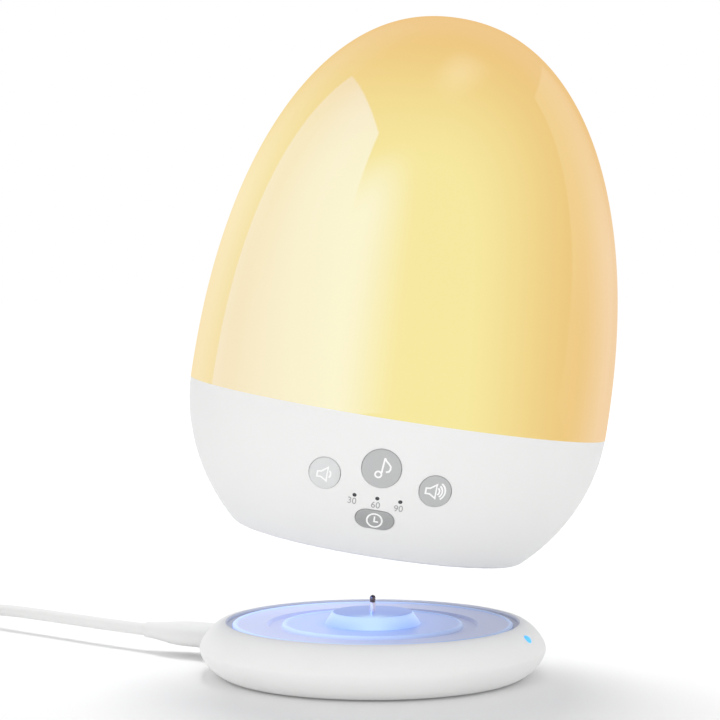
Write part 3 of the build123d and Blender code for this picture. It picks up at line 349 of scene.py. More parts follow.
# --- Meshes --------------------------------------------------------------------------------------
def skin(bm, rings, closed=False, wrap=True, ends=False):
    """Joins rings of points one after another. A ring of one point is a pole."""
    rings = [[bm.verts.new(p) for p in ring] for ring in rings]
    for low, high in zip(rings, rings[1:] + (rings[:1] if closed else [])):
        count = max(len(low), len(high))
        for i in range(count if wrap and count > 1 else count - 1):
            j = (i + 1) % count
            corners = [low[i % len(low)], low[j % len(low)], high[j % len(high)], high[i % len(high)]]
            bm.faces.new(list(dict.fromkeys(corners)))
    if ends:
        bm.faces.new(list(reversed(rings[0])))
        bm.faces.new(rings[-1])


def faced(bm):
    bmesh.ops.recalc_face_normals(bm, faces=bm.faces)
    return bm


def walled(rings, **joined):
    bm = bmesh.new()
    skin(bm, rings, **joined)
    return faced(bm)


def lathe(points, facets):
    """Turns a closed line of (r, z) points. A point on the axis becomes a pole."""
    rings = [[turned(r, z, turn) for turn in round_angles(facets if r > 1e-6 else 1)] for r, z in points]
    return walled(rings, closed=True)


def rounded_box(width, tall, radius):
    """The outline of a rounded rectangle, anticlockwise."""
    points = []
    for i, (x, y) in enumerate(((1, 1), (-1, 1), (-1, -1), (1, -1))):
        points += arc((x * (width / 2 - radius), y * (tall / 2 - radius)), radius, 90 * i, 90 * i + 90, 7)
    return points


def lofted(stations, place):
    """A closed form along X through rounded rectangles, each (x, width, tall, corner radius)."""
    rings = [[place @ Vector((x, a, b)) for a, b in rounded_box(*shape)] for x, *shape in stations]
    return walled(rings, ends=True)


def inside_polygon(point, polygon):
    hit = False
    for a, b in zip(polygon, polygon[1:] + polygon[:1]):
        if (a.y > point.y) != (b.y > point.y):
            if point.x < (b.x - a.x) * (point.y - a.y) / (b.y - a.y) + a.x:
                hit = not hit
    return hit


class Hole:
    """A straight hole through the egg's wall, with a rounded rim."""

    def __init__(self, outline, flat, edge, reach=PANEL_REACH):
        self.outline = outline  # outline(grow) gives its flat points, anticlockwise seen from outside
        self.flat = flat
        self.edge = edge
        self.reach = reach

    def ring(self, grow, inset=0.0, sink=0.0):
        way = self.flat.col[2].to_3d()
        return [cast(self.flat, x, y, -inset, self.reach) - way * sink for x, y in self.outline(grow)]


def pierced_wall(profile, wall, holes, low_edge, columns, rows, fence):
    """A wall turned from `profile`, `wall` thick, with holes through it and its two edges closed.

    The skin is one Delaunay mesh on the unrolled wall, so that each hole's rim is exact.
    """
    middle = profile.at(profile.length / 2).x
    turns = steps(pi / 2, pi / 2 + 2 * pi, columns + 1)

    def unrolled(turn, mark):
        return Vector((turn * middle, mark)) / MM

    def chart(points):
        spots = []
        for point in points:
            turn = atan2(point.x, -point.y)
            turn += 2 * pi if turn < pi / 2 else 0
            spots.append(unrolled(turn, profile.nearest(Vector((hypot(point.x, point.y), point.z)))))
        return spots

    rims = [hole.ring(hole.edge) for hole in holes]
    charted = [chart(rim) for rim in rims]
    fences = [chart(hole.ring(hole.edge + fence)) for hole in holes]
    sources = []  # each flat spot, with its points on the outer and on the inner skin
    for mark in steps(0, profile.length, rows + 1):
        pair = [profile.under(mark, depth) for depth in (0, wall)]
        for turn in turns:
            spot = unrolled(turn, mark)
            if not any(inside_polygon(spot, f) for f in fences):
                sources.append((spot, *[turned(r, z, turn) for r, z in pair]))
    edges = []
    for hole, rim, spots in zip(holes, rims, charted):
        first = len(sources)
        sources += zip(spots, rim, hole.ring(0, inset=wall))
        edges += [(first + i, first + (i + 1) % len(rim)) for i in range(len(rim))]
    spots, _, faces, origins, _, _ = delaunay_2d_cdt([s[0] for s in sources], edges, [], 0, 1e-5)
    bm = bmesh.new()
    outer, inner = ([bm.verts.new(sources[o[0]][side]) for o in origins] for side in (1, 2))
    for face in faces:
        centre = sum((spots[i] for i in face), Vector((0, 0))) / len(face)
        if not any(inside_polygon(centre, f) for f in charted):
            bm.faces.new([outer[i] for i in face])
            bm.faces.new([inner[i] for i in reversed(face)])
    for hole in holes:
        levels = [(hole.edge * (1 - sin(a)), hole.edge * (1 - cos(a))) for a in steps(0, pi / 2, 4)]
        skin(bm, [*[hole.ring(grow, sink=sink) for grow, sink in levels], hole.ring(0, inset=wall)])
    for mark, edge in ((0, low_edge), (profile.length, [])):
        line = [profile.under(mark, 0), *edge, profile.under(mark, wall)]
        skin(bm, [[turned(r, z, turn) for turn in turns] for r, z in line], wrap=False)
    bmesh.ops.remove_doubles(bm, verts=bm.verts, dist=0.002 * MM)
    return faced(bm)


def skin_normals(mesh, profile, tolerance=0.004 * MM):
    """Gives the turned skin the normals of its own outline, so that no hole's rim shades it."""
    on_skin = {}
    for v in mesh.vertices:
        flat = Vector((hypot(v.co.x, v.co.y), v.co.z))
        mark = profile.nearest(flat)
        if (profile.at(mark) - flat).length < tolerance:
            on_skin[v.index] = turned(*profile.normal(mark), atan2(v.co.x, -v.co.y))
    normals = [Vector(c.vector) for c in mesh.corner_normals]
    for face in mesh.polygons:
        if all(i in on_skin for i in face.vertices):
            for loop, vertex in zip(face.loop_indices, face.vertices):
                normals[loop] = on_skin[vertex]
    mesh.normals_split_custom_set(normals)


def shown(name, data):
    made = bpy.data.objects.new(name, data)
    bpy.context.scene.collection.objects.link(made)
    return made


def dress(made, body, slot, *nodes):
    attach(made, body)
    if nodes:
        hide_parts(*nodes)
    return made


def piece(name, bm, body, slot, *nodes, place=AT_ORIGIN, finish=None, sharp=35.0, outline=None):
    """Makes a mesh piece. The object stays at the origin, and its place is in its mesh."""
    mesh = bpy.data.meshes.new(name)
    bm.to_mesh(mesh)
    bm.free()
    mesh.shade_smooth()
    mesh.set_sharp_from_angle(angle=radians(sharp))
    if outline:
        skin_normals(mesh, outline)
    mesh.transform(place)
    mesh.materials.append(finish or finish_for(slot))
    return dress(shown(name, mesh), body, slot, *nodes)


def baked(made):
    """What a text or a modifier makes, as a bmesh. The object itself goes."""
    bpy.context.view_layer.update()
    mesh = bpy.data.meshes.new_from_object(made.evaluated_get(bpy.context.evaluated_depsgraph_get()))
    bpy.data.objects.remove(made)
    bm = bmesh.new()
    bm.from_mesh(mesh)
    bpy.data.meshes.remove(mesh)
    return bm


# --- Node trees ----------------------------------------------------------------------------------
class Wire:
    """A value that runs through a node tree. A sum written with wires becomes Math nodes."""

    def __init__(self, socket):
        self.socket = socket
        self.tree = socket.id_data

    def math(self, operation, other=None, clamp=False):
        values = {0: self} if other is None else {0: self, 1: other}
        return wire(self.tree, "ShaderNodeMath", values, operation=operation, use_clamp=clamp)

    def __add__(self, other):
        return self.math("ADD", other)

    def __sub__(self, other):
        return self.math("SUBTRACT", other)

    def __mul__(self, other):
        return self.math("MULTIPLY", other)

    def __truediv__(self, other):
        return self.math("DIVIDE", other)

    def __pow__(self, other):
        return self.math("POWER", other)

    def __abs__(self):
        return self.math("ABSOLUTE")


def feed(made, values):
    """Sets a node's inputs. Each value is a plain one or a wire from another node."""
    for key, value in values.items():
        if isinstance(value, Wire):
            made.id_data.links.new(value.socket, made.inputs[key])
        else:
            made.inputs[key].default_value = value


def node(tree, kind, values=None, **settings):
    made = tree.nodes.new(kind)
    for key, value in settings.items():
        setattr(made, key, value)
    feed(made, values or {})
    return made


def wire(tree, kind, values=None, output=0, **settings):
    """Makes a node and gives the wire from one of its outputs."""
    return Wire(node(tree, kind, values, **settings).outputs[output])


def wires(made):
    return {output.name: Wire(output) for output in made.outputs}


def socket(group, name, kind, default=None, output=False):
    in_out = "OUTPUT" if output else "INPUT"
    made = group.interface.new_socket(name, in_out=in_out, socket_type="NodeSocket" + kind)
    if default is not None:
        made.default_value = default
    return made


def own_place(tree):
    """The point in the object's own coordinates."""
    return wire(tree, "ShaderNodeTexCoord", output="Object")


def axes(place):
    return [Wire(output) for output in node(place.tree, "ShaderNodeSeparateXYZ", {0: place}).outputs]


def egg_axes(tree):
    """The point's coordinates in the egg's own upright frame, in metres."""
    values = {"Vector": own_place(tree), "Location": EGG_PLACE.translation, "Rotation": EGG_PLACE.to_euler()}
    return axes(wire(tree, "ShaderNodeMapping", values, vector_type="TEXTURE"))


def ranged(value, start, end, first=0.0, last=1.0, kind="SMOOTHSTEP"):
    """Goes from first to last while the value goes from start to end."""
    values = {"Value": value, "From Min": start, "From Max": end, "To Min": first, "To Max": last}
    return wire(value.tree, "ShaderNodeMapRange", values, interpolation_type=kind)


def ramp(share, stops):
    """Blends colours that stand at shares of the way."""
    made = node(share.tree, "ShaderNodeValToRGB", {"Fac": share})
    elements = made.color_ramp.elements
    while len(elements) < len(stops):
        elements.new(0.5)
    for element, (position, colour) in zip(elements, stops):
        element.position = position
        element.color = (*colour, 1)
    return Wire(made.outputs["Color"])


def mixed(share, first, second, blend="MIX"):
    values = {0: share, 6: first, 7: second}
    return wire(share.tree, "ShaderNodeMix", values, output=2, data_type="RGBA", blend_type=blend)


def shaded(colour, value):
    return wire(colour.tree, "ShaderNodeHueSaturation", {"Color": colour, "Value": value})


def bump(height, distance):
    return wire(height.tree, "ShaderNodeBump", {"Height": height, "Distance": distance})


# --- Materials -----------------------------------------------------------------------------------
def moulded_grain():
    """Fine spark-eroded grain, with a slow drift in gloss and shade, for every moulded plastic."""
    group = bpy.data.node_groups.get("Moulded grain")
    if group:
        return group
    group = bpy.data.node_groups.new("Moulded grain", "ShaderNodeTree")
    socket(group, "Colour", "Color", (0.8, 0.8, 0.8, 1))
    for name, default in (("Roughness", 0.4), ("Grain size", 3000.0), ("Drift", 0.03)):
        socket(group, name, "Float", default)
    for name, kind in (("Colour", "Color"), ("Roughness", "Float"), ("Height", "Float")):
        socket(group, name, kind, output=True)
    given = wires(node(group, "NodeGroupInput"))
    place = own_place(group)
    fine = wire(group, "ShaderNodeTexNoise", {"Vector": place, "Scale": given["Grain size"], "Detail": 1.0})
    slow = wire(group, "ShaderNodeTexNoise", {"Vector": place, "Scale": 45.0})
    drift = (slow - 0.5) * given["Drift"]
    rough = given["Roughness"].math("ADD", drift * 2.0, clamp=True)
    node(group, "NodeGroupOutput", {
        "Colour": shaded(given["Colour"], drift + 1.0), "Roughness": rough, "Height": fine})
    return group


def grain_wires(tree, values):
    return wires(node(tree, "ShaderNodeGroup", values, node_tree=moulded_grain()))


def blank_material(name):
    material = bpy.data.materials.new(name)
    material.use_nodes = True
    tree = material.node_tree
    return material, tree, tree.nodes["Principled BSDF"]


def moulded(name, colour, roughness, grain=3000.0, depth=0.004 * MM, drift=0.02,
            coat=0.0, metallic=0.0, shine=0.5):
    """Moulded plastic or rubber, with the shared grain."""
    material, tree, shader = blank_material(name)
    values = {"Colour": (*colour, 1), "Roughness": roughness, "Grain size": grain, "Drift": drift}
    skin_wires = grain_wires(tree, values)
    feed(shader, {
        "Base Color": skin_wires["Colour"], "Roughness": skin_wires["Roughness"], "Metallic": metallic,
        "Specular IOR Level": shine, "Coat Weight": coat, "Coat Roughness": 0.15,
        "Normal": bump(skin_wires["Height"], depth),
    })
    return material


def glow(name, colour, roughness, strength):
    """Moulded plastic that is lit from within."""
    material = moulded(name, colour, roughness)
    values = {"Emission Color": (*colour, 1), "Emission Strength": strength}
    feed(material.node_tree.nodes["Principled BSDF"], values)
    return material


def metal(name, colour, roughness):
    return moulded(name, colour, roughness, 6000.0, 0.002 * MM, 0.05, metallic=1.0)


def hot_zone(x, y, z, settings):
    """1 where the lamps shine straight at the wall, falling to 0 up the crown and round the sides."""
    rise = z - settings.glow_height
    aside = x - settings.glow_side + rise * settings.glow_slant
    right = aside.math("MAXIMUM", 0.0) / settings.glow_width
    left = aside.math("MINIMUM", 0.0) / settings.glow_left
    spread = abs(right + left) ** 2.0 + abs(rise / settings.glow_reach) ** 4.5
    behind = ranged(y, 30 * MM, -30 * MM, 0.55, 1.0)
    return (spread * -1.0).math("EXPONENT") * behind


def dome_material(settings):
    """Glossy milk-white polypropylene over warm lamps, with a painted reflection: pale light added where the wall is
    seen edge on, for the room's light that its gloss reflects there.
    """
    material, tree, shader = blank_material("Lit dome")
    x, y, z = egg_axes(tree)
    warm = ramp(hot_zone(x, y, z, settings), [(0.0, settings.glow_rim), (0.9, settings.glow_core)])
    facing_away = wire(tree, "ShaderNodeLayerWeight", output="Facing")
    # Painted reflection: pale light added to the glow where the wall is seen edge on, less so up the crown.
    painted_rim_reflection = ranged(facing_away, 0.4, 0.92) * ranged(z, 82 * MM, 128 * MM, 1.0, 0.4)
    glow_with_painted_reflection = mixed(painted_rim_reflection, warm, (*settings.rim_painted_reflection, 1), "ADD")
    skin_wires = grain_wires(tree, {
        "Colour": glow_with_painted_reflection, "Roughness": settings.dome_roughness, "Grain size": 900.0, "Drift": 0.01})
    polish = ranged(facing_away, 0.5, 0.9, settings.dome_coat, 0.0)
    feed(shader, {
        "Base Color": (*settings.dome_body, 1), "Roughness": skin_wires["Roughness"],
        "Emission Color": skin_wires["Colour"], "Emission Strength": settings.glow_strength,
        "Specular IOR Level": 0.0, "Coat Weight": polish, "Coat Roughness": 0.05, "Coat IOR": 1.9,
        "Normal": bump(skin_wires["Height"], 0.002 * MM),
    })
    material.cycles.emission_sampling = "NONE"
    return material


def lit_plastic(shader, tint, strength, roughness):
    feed(shader, {
        "Base Color": tint, "Emission Color": tint, "Emission Strength": strength, "Roughness": roughness,
        "Specular IOR Level": 0.3,
    })


def plate_material(settings):
    """Milky blue plate, lit from below: brightest by the boss and in its two fine rings, with painted shade that
    darkens it towards the right.
    """
    material, tree, shader = blank_material("Lit plate")
    x, y, _ = axes(own_place(tree))
    flat = wire(tree, "ShaderNodeCombineXYZ", {0: x, 1: y})
    away = wire(tree, "ShaderNodeVectorMath", {0: flat}, output="Value", operation="LENGTH")
    middle, outer, line = settings.plate_middle, settings.plate_outer, settings.plate_line
    rings = ramp(away / RECESS_RADIUS, [
        (0.30, settings.plate_core), (0.42, middle), (0.605, middle), (0.622, line), (0.638, line),
        (0.655, outer), (0.96, outer), (0.972, line), (0.985, line),
    ])
    # Painted shade: the plate's colour is made lighter on the left and darker towards the right, for how the light
    # falls across it.
    tint = shaded(rings, ranged(x, -20 * MM, 36 * MM, 1.14, 0.66))
    lit_plastic(shader, tint, settings.plate_strength, 0.32)
    return material


def boss_material(settings):
    """Blue boss whose side is lit by the plate and whose top is in shade, with a hot spot at its front."""
    material, tree, shader = blank_material("Lit boss")
    x, y, z = axes(own_place(tree))
    rise = ranged(z, PLATE_TOP, BOSS_TOP, kind="LINEAR")
    side = settings.boss_side
    bands = ramp(rise, [(0.0, settings.boss_foot), (0.75, side), (0.97, side), (1.0, settings.boss_top)])
    spread = (abs(x) / (6 * MM)) ** 2.0 + ((y + 12.5 * MM) / (5 * MM)) ** 2.0
    hot = (spread * -1.0).math("EXPONENT")
    lit_plastic(shader, mixed(hot, bands, (*settings.boss_hot, 1)), settings.plate_strength, 0.3)
    return material


def board(name, colour):
    """Solder mask over faint tracks."""
    material, tree, shader = blank_material(name)
    tracks = wires(node(tree, "ShaderNodeTexBrick", {
        "Vector": own_place(tree), "Scale": 350.0, "Mortar Size": 0.03, "Color1": (*colour, 1),
        "Color2": (*[c * 0.85 for c in colour], 1), "Mortar": (*[min(1, c * 1.5 + 0.03) for c in colour], 1),
    }, offset=0.5))
    feed(shader, {"Base Color": tracks["Color"], "Roughness": 0.35, "Normal": bump(tracks["Fac"], 0.01 * MM)})
    return material


def hook_and_loop(name, colour):
    """Short looped pile of a cable strap."""
    material, tree, shader = blank_material(name)
    values = {"Vector": own_place(tree), "Scale": 1800.0}
    loops = wire(tree, "ShaderNodeTexVoronoi", values, output="Distance")
    tint = mixed(loops, (*[c * 0.6 for c in colour], 1), (*colour, 1))
    pile = bump(loops, 0.15 * MM)
    feed(shader, {"Base Color": tint, "Roughness": 0.9, "Sheen Weight": 0.4, "Normal": pile})
    return material


def silver_finish():
    """Silver-grey satin paint, with painted light and shade: palest on the panel's left, deepest low down, as the room
    lights it.
    """
    material = moulded("Silver-grey button", (0.5, 0.505, 0.508), 0.5, shine=0.3)
    base = material.node_tree.nodes["Principled BSDF"].inputs["Base Color"]
    x, _, z = egg_axes(material.node_tree)
    # Painted light and shade: the paint is made paler towards the left and darker low down.
    painted_light_and_shade = ranged(x, -12 * MM, -5 * MM, 1.4, 1.0) * ranged(z, 10 * MM, 19 * MM, 0.74, 1.0)
    feed(base.node, {"Base Color": shaded(Wire(base.links[0].from_socket), painted_light_and_shade)})
    return material


def chosen(name):
    """One of the colours that a user may change."""
    return getattr(bpy.context.scene.sound_machine_colours, name)


FINISHES = {
    "dome_plastic": lambda: glow("Dome wall", (0.99, 0.88, 0.62), 0.3, 0.2),
    "shell_white": lambda: moulded(
        "Satin white shell", chosen("shell_white"), 0.45, 2600.0, 0.0035 * MM, 0.012, shine=0.08),
    "button_silver": silver_finish,
    "inner_plastic": lambda: moulded("Plain inner plastic", (0.74, 0.74, 0.72), 0.5),
    "pipe_smoke": lambda: moulded("Smoked light pipe", (0.028, 0.028, 0.034), 0.12, coat=0.5),
    "board_green": lambda: board("Green board", (0.02, 0.16, 0.07)),
    "board_white": lambda: board("White lamp board", (0.78, 0.78, 0.75)),
    "chip_black": lambda: moulded("Chip package", (0.02, 0.02, 0.024), 0.5),
    "led_cream": lambda: glow("LED phosphor", (0.96, 0.82, 0.42), 0.4, 1.0),
    "screw_steel": lambda: metal("Zinc-plated steel", (0.55, 0.55, 0.57), 0.32),
    "battery_wrap": lambda: moulded("Battery wrap", (0.02, 0.14, 0.42), 0.22, coat=0.4),
    "speaker_steel": lambda: metal("Black speaker steel", (0.05, 0.05, 0.055), 0.4),
    "magnet_steel": lambda: metal("Magnet cup", (0.5, 0.5, 0.52), 0.3),
    "speaker_paper": lambda: moulded("Pressed paper", (0.025, 0.025, 0.028), 0.85, 1200.0, 0.05 * MM, 0.08),
    "foam_black": lambda: moulded("Closed-cell foam", (0.02, 0.02, 0.02), 0.95, 900.0, 0.08 * MM, 0.1),
    "rubber_grey": lambda: moulded("Grey silicone", (0.3, 0.3, 0.31), 0.75, 1500.0, 0.01 * MM, 0.05),
    "wire_red": lambda: moulded("Red wire", (0.45, 0.03, 0.02), 0.4),
    "dock_white": lambda: moulded(
        "Satin white dock", chosen("dock_white"), 0.45, 2600.0, 0.003 * MM, 0.012, shine=0.08),
    "plate_blue": lambda: glow("Boss plastic", (0.34, 0.5, 0.86), 0.25, 0.35),
    "contact_metal": lambda: metal("Pin plating", (0.97, 0.86, 0.9), 0.28),
    "contact_dark": lambda: metal("Dark contact", (0.14, 0.11, 0.12), 0.22),
    "status_cyan": lambda: glow("Status light", (0.08, 0.42, 0.86), 0.4, 0.6),
    "lead_white": lambda: moulded(
        "White lead sheath", chosen("lead_white"), 0.5, 1500.0, 0.01 * MM, shine=0.08),
    "tie_grey": lambda: hook_and_loop("Strap pile", (0.4, 0.4, 0.42)),
    "plug_metal": lambda: metal("Nickel plate", (0.66, 0.65, 0.63), 0.24),
}


def finish_for(slot):
    """The one material of a slot, made the first time that it is asked for."""
    found = next((m for m in bpy.data.materials if m.get("slot") == slot), None)
    if found is None:
        found = FINISHES[slot]()
        found["slot"] = slot
    return found


# --- Settings ------------------------------------------------------------------------------------
def colour_of(name, description, default):
    return FloatVectorProperty(
        name=name, description=description, default=default, subtype="COLOR", size=3, min=0, max=1)


def length_of(name, description, default, **limits):
    return FloatProperty(name=name, description=description, default=default, unit="LENGTH", **limits)


def number_of(name, description, default, least, most):
    return FloatProperty(name=name, description=description, default=default, min=least, max=most)


class SoundMachineColours(bpy.types.PropertyGroup):
    shell_white: colour_of("Shell", "Satin white of the lower housing", (0.835, 0.835, 0.83))
    dock_white: colour_of("Dock", "Satin white of the charging dock", (0.89, 0.89, 0.885))
    lead_white: colour_of("Lead", "White of the lead and its grips", (0.78, 0.78, 0.775))
    icon_white: colour_of("Icons", "White of the button icons", (0.95, 0.95, 0.95))
    label_grey: colour_of("Labels", "Grey of the timer's numbers", (0.36, 0.36, 0.37))


class SoundMachineDome(bpy.types.PropertyGroup):
    glow_core: colour_of("Core glow", "Colour where the lamps face the wall", (0.90, 0.78, 0.29))
    glow_rim: colour_of("Rim glow", "Colour up the crown and round the sides", (0.77, 0.405, 0.06))
    dome_body: colour_of("Body", "Colour of the plastic itself", (0.10, 0.085, 0.055))
    # Painted reflection: the pale light added to the dome's glow where its wall is seen edge on.
    rim_painted_reflection: colour_of("Haze", "Light that the wall adds where it is seen edge on", (0.10, 0.185, 0.30))
    glow_strength: number_of("Glow", "Strength of the lamps seen through the wall", 0.92, 0, 10)
    glow_side: length_of("Glow side", "How far the core lies to the right", 7 * MM)
    glow_width: length_of("Glow width", "Half width of the core", 31.5 * MM, min=MM)
    glow_left: length_of("Glow left", "Half width of the core towards the left", 74 * MM, min=MM)
    glow_height: length_of("Glow height", "Height of the core above the egg's foot", 60 * MM)
    glow_reach: length_of("Glow reach", "Half height of the core", 71 * MM, min=MM)
    glow_slant: number_of("Glow slant", "How far the core leans to the left as it rises", 0.1, -1, 1)
    dome_roughness: number_of("Roughness", "Roughness of the moulded wall", 0.3, 0, 1)
    dome_coat: number_of("Polish", "Weight of the polished outer skin", 0.5, 0, 1)
    segments: IntProperty(name="Segments", description="Facets round the dome", default=160, min=24, max=400)


class SoundMachinePanelSizes(bpy.types.PropertyGroup):
    button_gap: length_of("Button gap", "Gap round each button", 0.1 * MM, min=0)
    hole_edge: length_of("Hole edge", "Radius on the rim of each button's hole", 0.08 * MM, min=0)
    cap_proud: length_of("Cap height", "How far a cap stands out of the shell", 0.35 * MM)
    cap_edge: length_of("Cap edge", "Radius on the rim of each cap", 0.35 * MM, min=0)
    stroke: length_of("Icon stroke", "Width of an icon's line", 0.45 * MM, min=0)
    label_height: length_of("Label height", "Height of the timer's numbers", 1.9 * MM)


class SoundMachineDock(bpy.types.PropertyGroup):
    plate_core: colour_of("Plate core", "Plate colour under the boss", (0.30, 0.46, 0.92))
    plate_middle: colour_of("Plate middle", "Plate colour inside its ring", (0.38, 0.49, 0.86))
    plate_outer: colour_of("Plate rim", "Plate colour outside its ring", (0.42, 0.47, 0.70))
    plate_line: colour_of("Plate rings", "Colour of the bright rings", (0.50, 0.64, 0.96))
    # Painted shade: the grey given to the lip and the wall round the recess, for the shadow that falls there.
    recess_painted_shade: colour_of("Recess wall", "Shaded grey of the wall round the plate", (0.6, 0.61, 0.68))
    boss_foot: colour_of("Boss foot", "Boss colour where it meets the plate", (0.36, 0.52, 0.95))
    boss_side: colour_of("Boss side", "Colour of the boss's slope", (0.50, 0.66, 0.97))
    boss_top: colour_of("Boss top", "Colour of the boss's flat top", (0.17, 0.29, 0.68))
    boss_hot: colour_of("Boss hot spot", "Colour of the bright spot at the boss's front", (0.54, 0.72, 0.98))
    plate_strength: number_of("Plate glow", "Strength of the light below the plate", 0.35, 0, 10)
    lip_edge: length_of("Lip edge", "Radius on the recess's lip", 0.5 * MM, min=0)


# --- Egg -----------------------------------------------------------------------------------------
class SOUNDMACHINE_OT_dome(bpy.types.Operator):
    """Make the glowing dome, from the seam to the crown, with its skirt"""
    bl_idname = "sound_machine.dome"
    bl_label = "Dome"

    def execute(self, context):
        settings = context.scene.sound_machine_dome
        outer = [lower_egg(dip) for dip in steps(dip_at(SEAM), 0, 4)]
        outer += [crown_egg(rise) for rise in steps(0, pi / 2, 97)[1:]]
        profile = Profile(outer)
        inner = [(0.0, EGG_HEIGHT - SHELL_WALL)]
        for mark in steps(profile.length, 0, 60)[1:]:
            r, z = profile.under(mark, SHELL_WALL)
            if z > SEAM + 2.2 * MM or r < SKIRT_INNER:
                inner.append((max(0.0, r), z))
        skirt = [
            (SKIRT_INNER, SEAM + 2 * MM), (SKIRT_INNER, REFLECTOR_TOP), (SKIRT_OUTER, REFLECTOR_TOP),
            (SKIRT_OUTER, SEAM),
        ]
        bm = lathe(outer + inner + skirt, settings.segments)
        made = piece("glow_dome", bm, "sound_unit", "dome_plastic", "diffuser_dome", place=EGG_PLACE,
                     finish=dome_material(settings))
        made.visible_diffuse = False
        return {"FINISHED"}


class SOUNDMACHINE_OT_housing(bpy.types.Operator):
    """Make the lower housing with its button holes, its light-pipe holes and its speaker grille"""
    bl_idname = "sound_machine.housing"
    bl_label = "Housing"

    def execute(self, context):
        sizes = context.scene.sound_machine_panel
        holes = [Hole(outline, PANEL, sizes.hole_edge) for outline in BUTTONS.values()]
        holes += [Hole(oval(spot, DOT_RADIUS, DOT_RADIUS, count=24), PANEL, DOT_EDGE) for spot in DOT_SPOTS]
        back = grille_frame()
        for ring in range(GRILLE_RINGS + 1):
            for a in round_angles(6 * ring) or [0.0]:
                spot = (ring * GRILLE_PITCH * cos(a), ring * GRILLE_PITCH * sin(a))
                outline = oval(spot, GRILLE_HOLE, GRILLE_HOLE, count=16)
                holes.append(Hole(outline, back, GRILLE_EDGE, PANEL_REACH / 2))
        profile = Profile([lower_egg(dip) for dip in steps(dip_at(SHELL_FOOT), dip_at(SEAM), 48)])
        out = profile.normal(0)
        radius = SHELL_FOOT / (1 + out.y)
        foot_edge = arc(profile.under(0, radius), radius, degrees(atan2(out.y, out.x)), -90, 7)[1:]
        foot_edge += [(COVER_SEAT, 0), (COVER_SEAT, COVER_THICKNESS)]
        bm = pierced_wall(profile, SHELL_WALL, holes, foot_edge, columns=150, rows=46, fence=0.35 * MM)
        piece("housing_shell", bm, "sound_unit", "shell_white", "lower_housing", place=EGG_PLACE,
              outline=profile)
        return {"FINISHED"}


def cap_mesh(outline, sizes):
    """A cap that follows the shell, with a rounded rim and a plunger behind it."""
    proud, edge = sizes.cap_proud, sizes.cap_edge
    levels = [(0, CAP_BACK)]
    levels += [(edge * (1 - sin(a)), proud - edge * (1 - cos(a))) for a in steps(pi / 2, 0, 5)]
    levels += [(inset * MM, proud) for inset in (0.9, 1.4, 2.0, 2.6)]
    rings = []
    for inset, high in levels:
        rings.append([cast(PANEL, x, y, high) for x, y in outline(-inset - sizes.button_gap)])
    return walled(rings, ends=True)


def ribbon(bm, points, width, proud, closed):
    """A flat line on a cap, following its surface, with mitred corners."""
    thickness, root = 0.03 * MM, -0.1 * MM
    flat = [Vector(p) for p in points]
    rings = []
    for i, spot in enumerate(flat):
        before = flat[i - 1] if i or closed else spot
        after = flat[(i + 1) % len(flat)] if i + 1 < len(flat) or closed else spot
        ways = [w.normalized() for w in (spot - before, after - spot) if w.length > 1e-9]
        way = sum(ways, Vector((0, 0))).normalized()
        across = Vector((-way.y, way.x))
        mitre = 1 / max(0.5, across.dot(Vector((-ways[0].y, ways[0].x))))
        left, right = spot + across * mitre * width / 2, spot - across * mitre * width / 2
        section = [(left, root), (left, thickness), (right, thickness), (right, root)]
        rings.append([cast(PANEL, p.x, p.y, proud + high) for p, high in section])
    skin(bm, rings, closed=closed, ends=not closed)
    faced(bm)


def note_icon():
    """A quaver: an open head, a slanting stem and a curling flag."""
    head = arc((-0.62, -1.4), 0.82, 0, 360, 25)[:-1]
    stem = [(0.12, -1.2), (0.55, 3.2)]
    flag = [(0.55, 3.2), (1.0, 2.45), (1.75, 1.8), (2.25, 1.15), (2.3, 0.4), (1.95, -0.25), (1.2, -0.5)]
    return [(head, True), (stem, False), (flag, False)]


def speaker_icon(waves):
    """A loudspeaker's outline, with one wave or three."""
    shift, rise, slant = (-0.1, -0.05, 0.27) if waves == 1 else (-0.6, 0.3, 0.0)
    body = [(-1.75, 0.85), (-0.75, 0.85), (0.9, 1.9), (0.75, -2.0), (-0.75, -0.75), (-1.8, -0.65)]
    lines = [(body, True)]
    for i in range(waves):
        lines.append((arc((0.3, -0.05), 1.4 + 0.72 * i, -44 - 4 * i, 44 + 4 * i, 14), False))
    return [([(x + shift, y + rise + slant * x) for x, y in points], closed) for points, closed in lines]


def clock_icon():
    ring = [(x, 1.08 * y) for x, y in arc((0, 0), 1.95, 0, 360, 41)[:-1]]
    hands = [(-0.05, 1.3), (-0.05, -0.35), (1.05, -0.35)]
    return [(ring, True), (hands, False)]


class SOUNDMACHINE_OT_buttons(bpy.types.Operator):
    """Make the four button caps and their icons"""
    bl_idname = "sound_machine.buttons"
    bl_label = "Buttons"

    def execute(self, context):
        sizes = context.scene.sound_machine_panel
        for name, outline in BUTTONS.items():
            cap = cap_mesh(outline, sizes)
            piece(name.replace("button", "cap"), cap, name, "button_silver", name, place=EGG_PLACE)
        icons = {
            "tune_button": (TUNE_SPOT, note_icon()),
            "volume_down_button": (VOLUME_DOWN_SPOT, speaker_icon(1)),
            "volume_up_button": (VOLUME_UP_SPOT, speaker_icon(3)),
            "timer_button": (TIMER_SPOT, clock_icon()),
        }
        white = moulded("Icon ink", chosen("icon_white"), 0.4)
        for name, (spot, strokes) in icons.items():
            bm = bmesh.new()
            for points, closed in strokes:
                placed = [(x + spot[0], y + spot[1]) for x, y in scaled(points)]
                ribbon(bm, placed, sizes.stroke, sizes.cap_proud, closed)
            piece(name.replace("button", "icon"), bm, name, "button_silver", place=EGG_PLACE, finish=white)
        return {"FINISHED"}


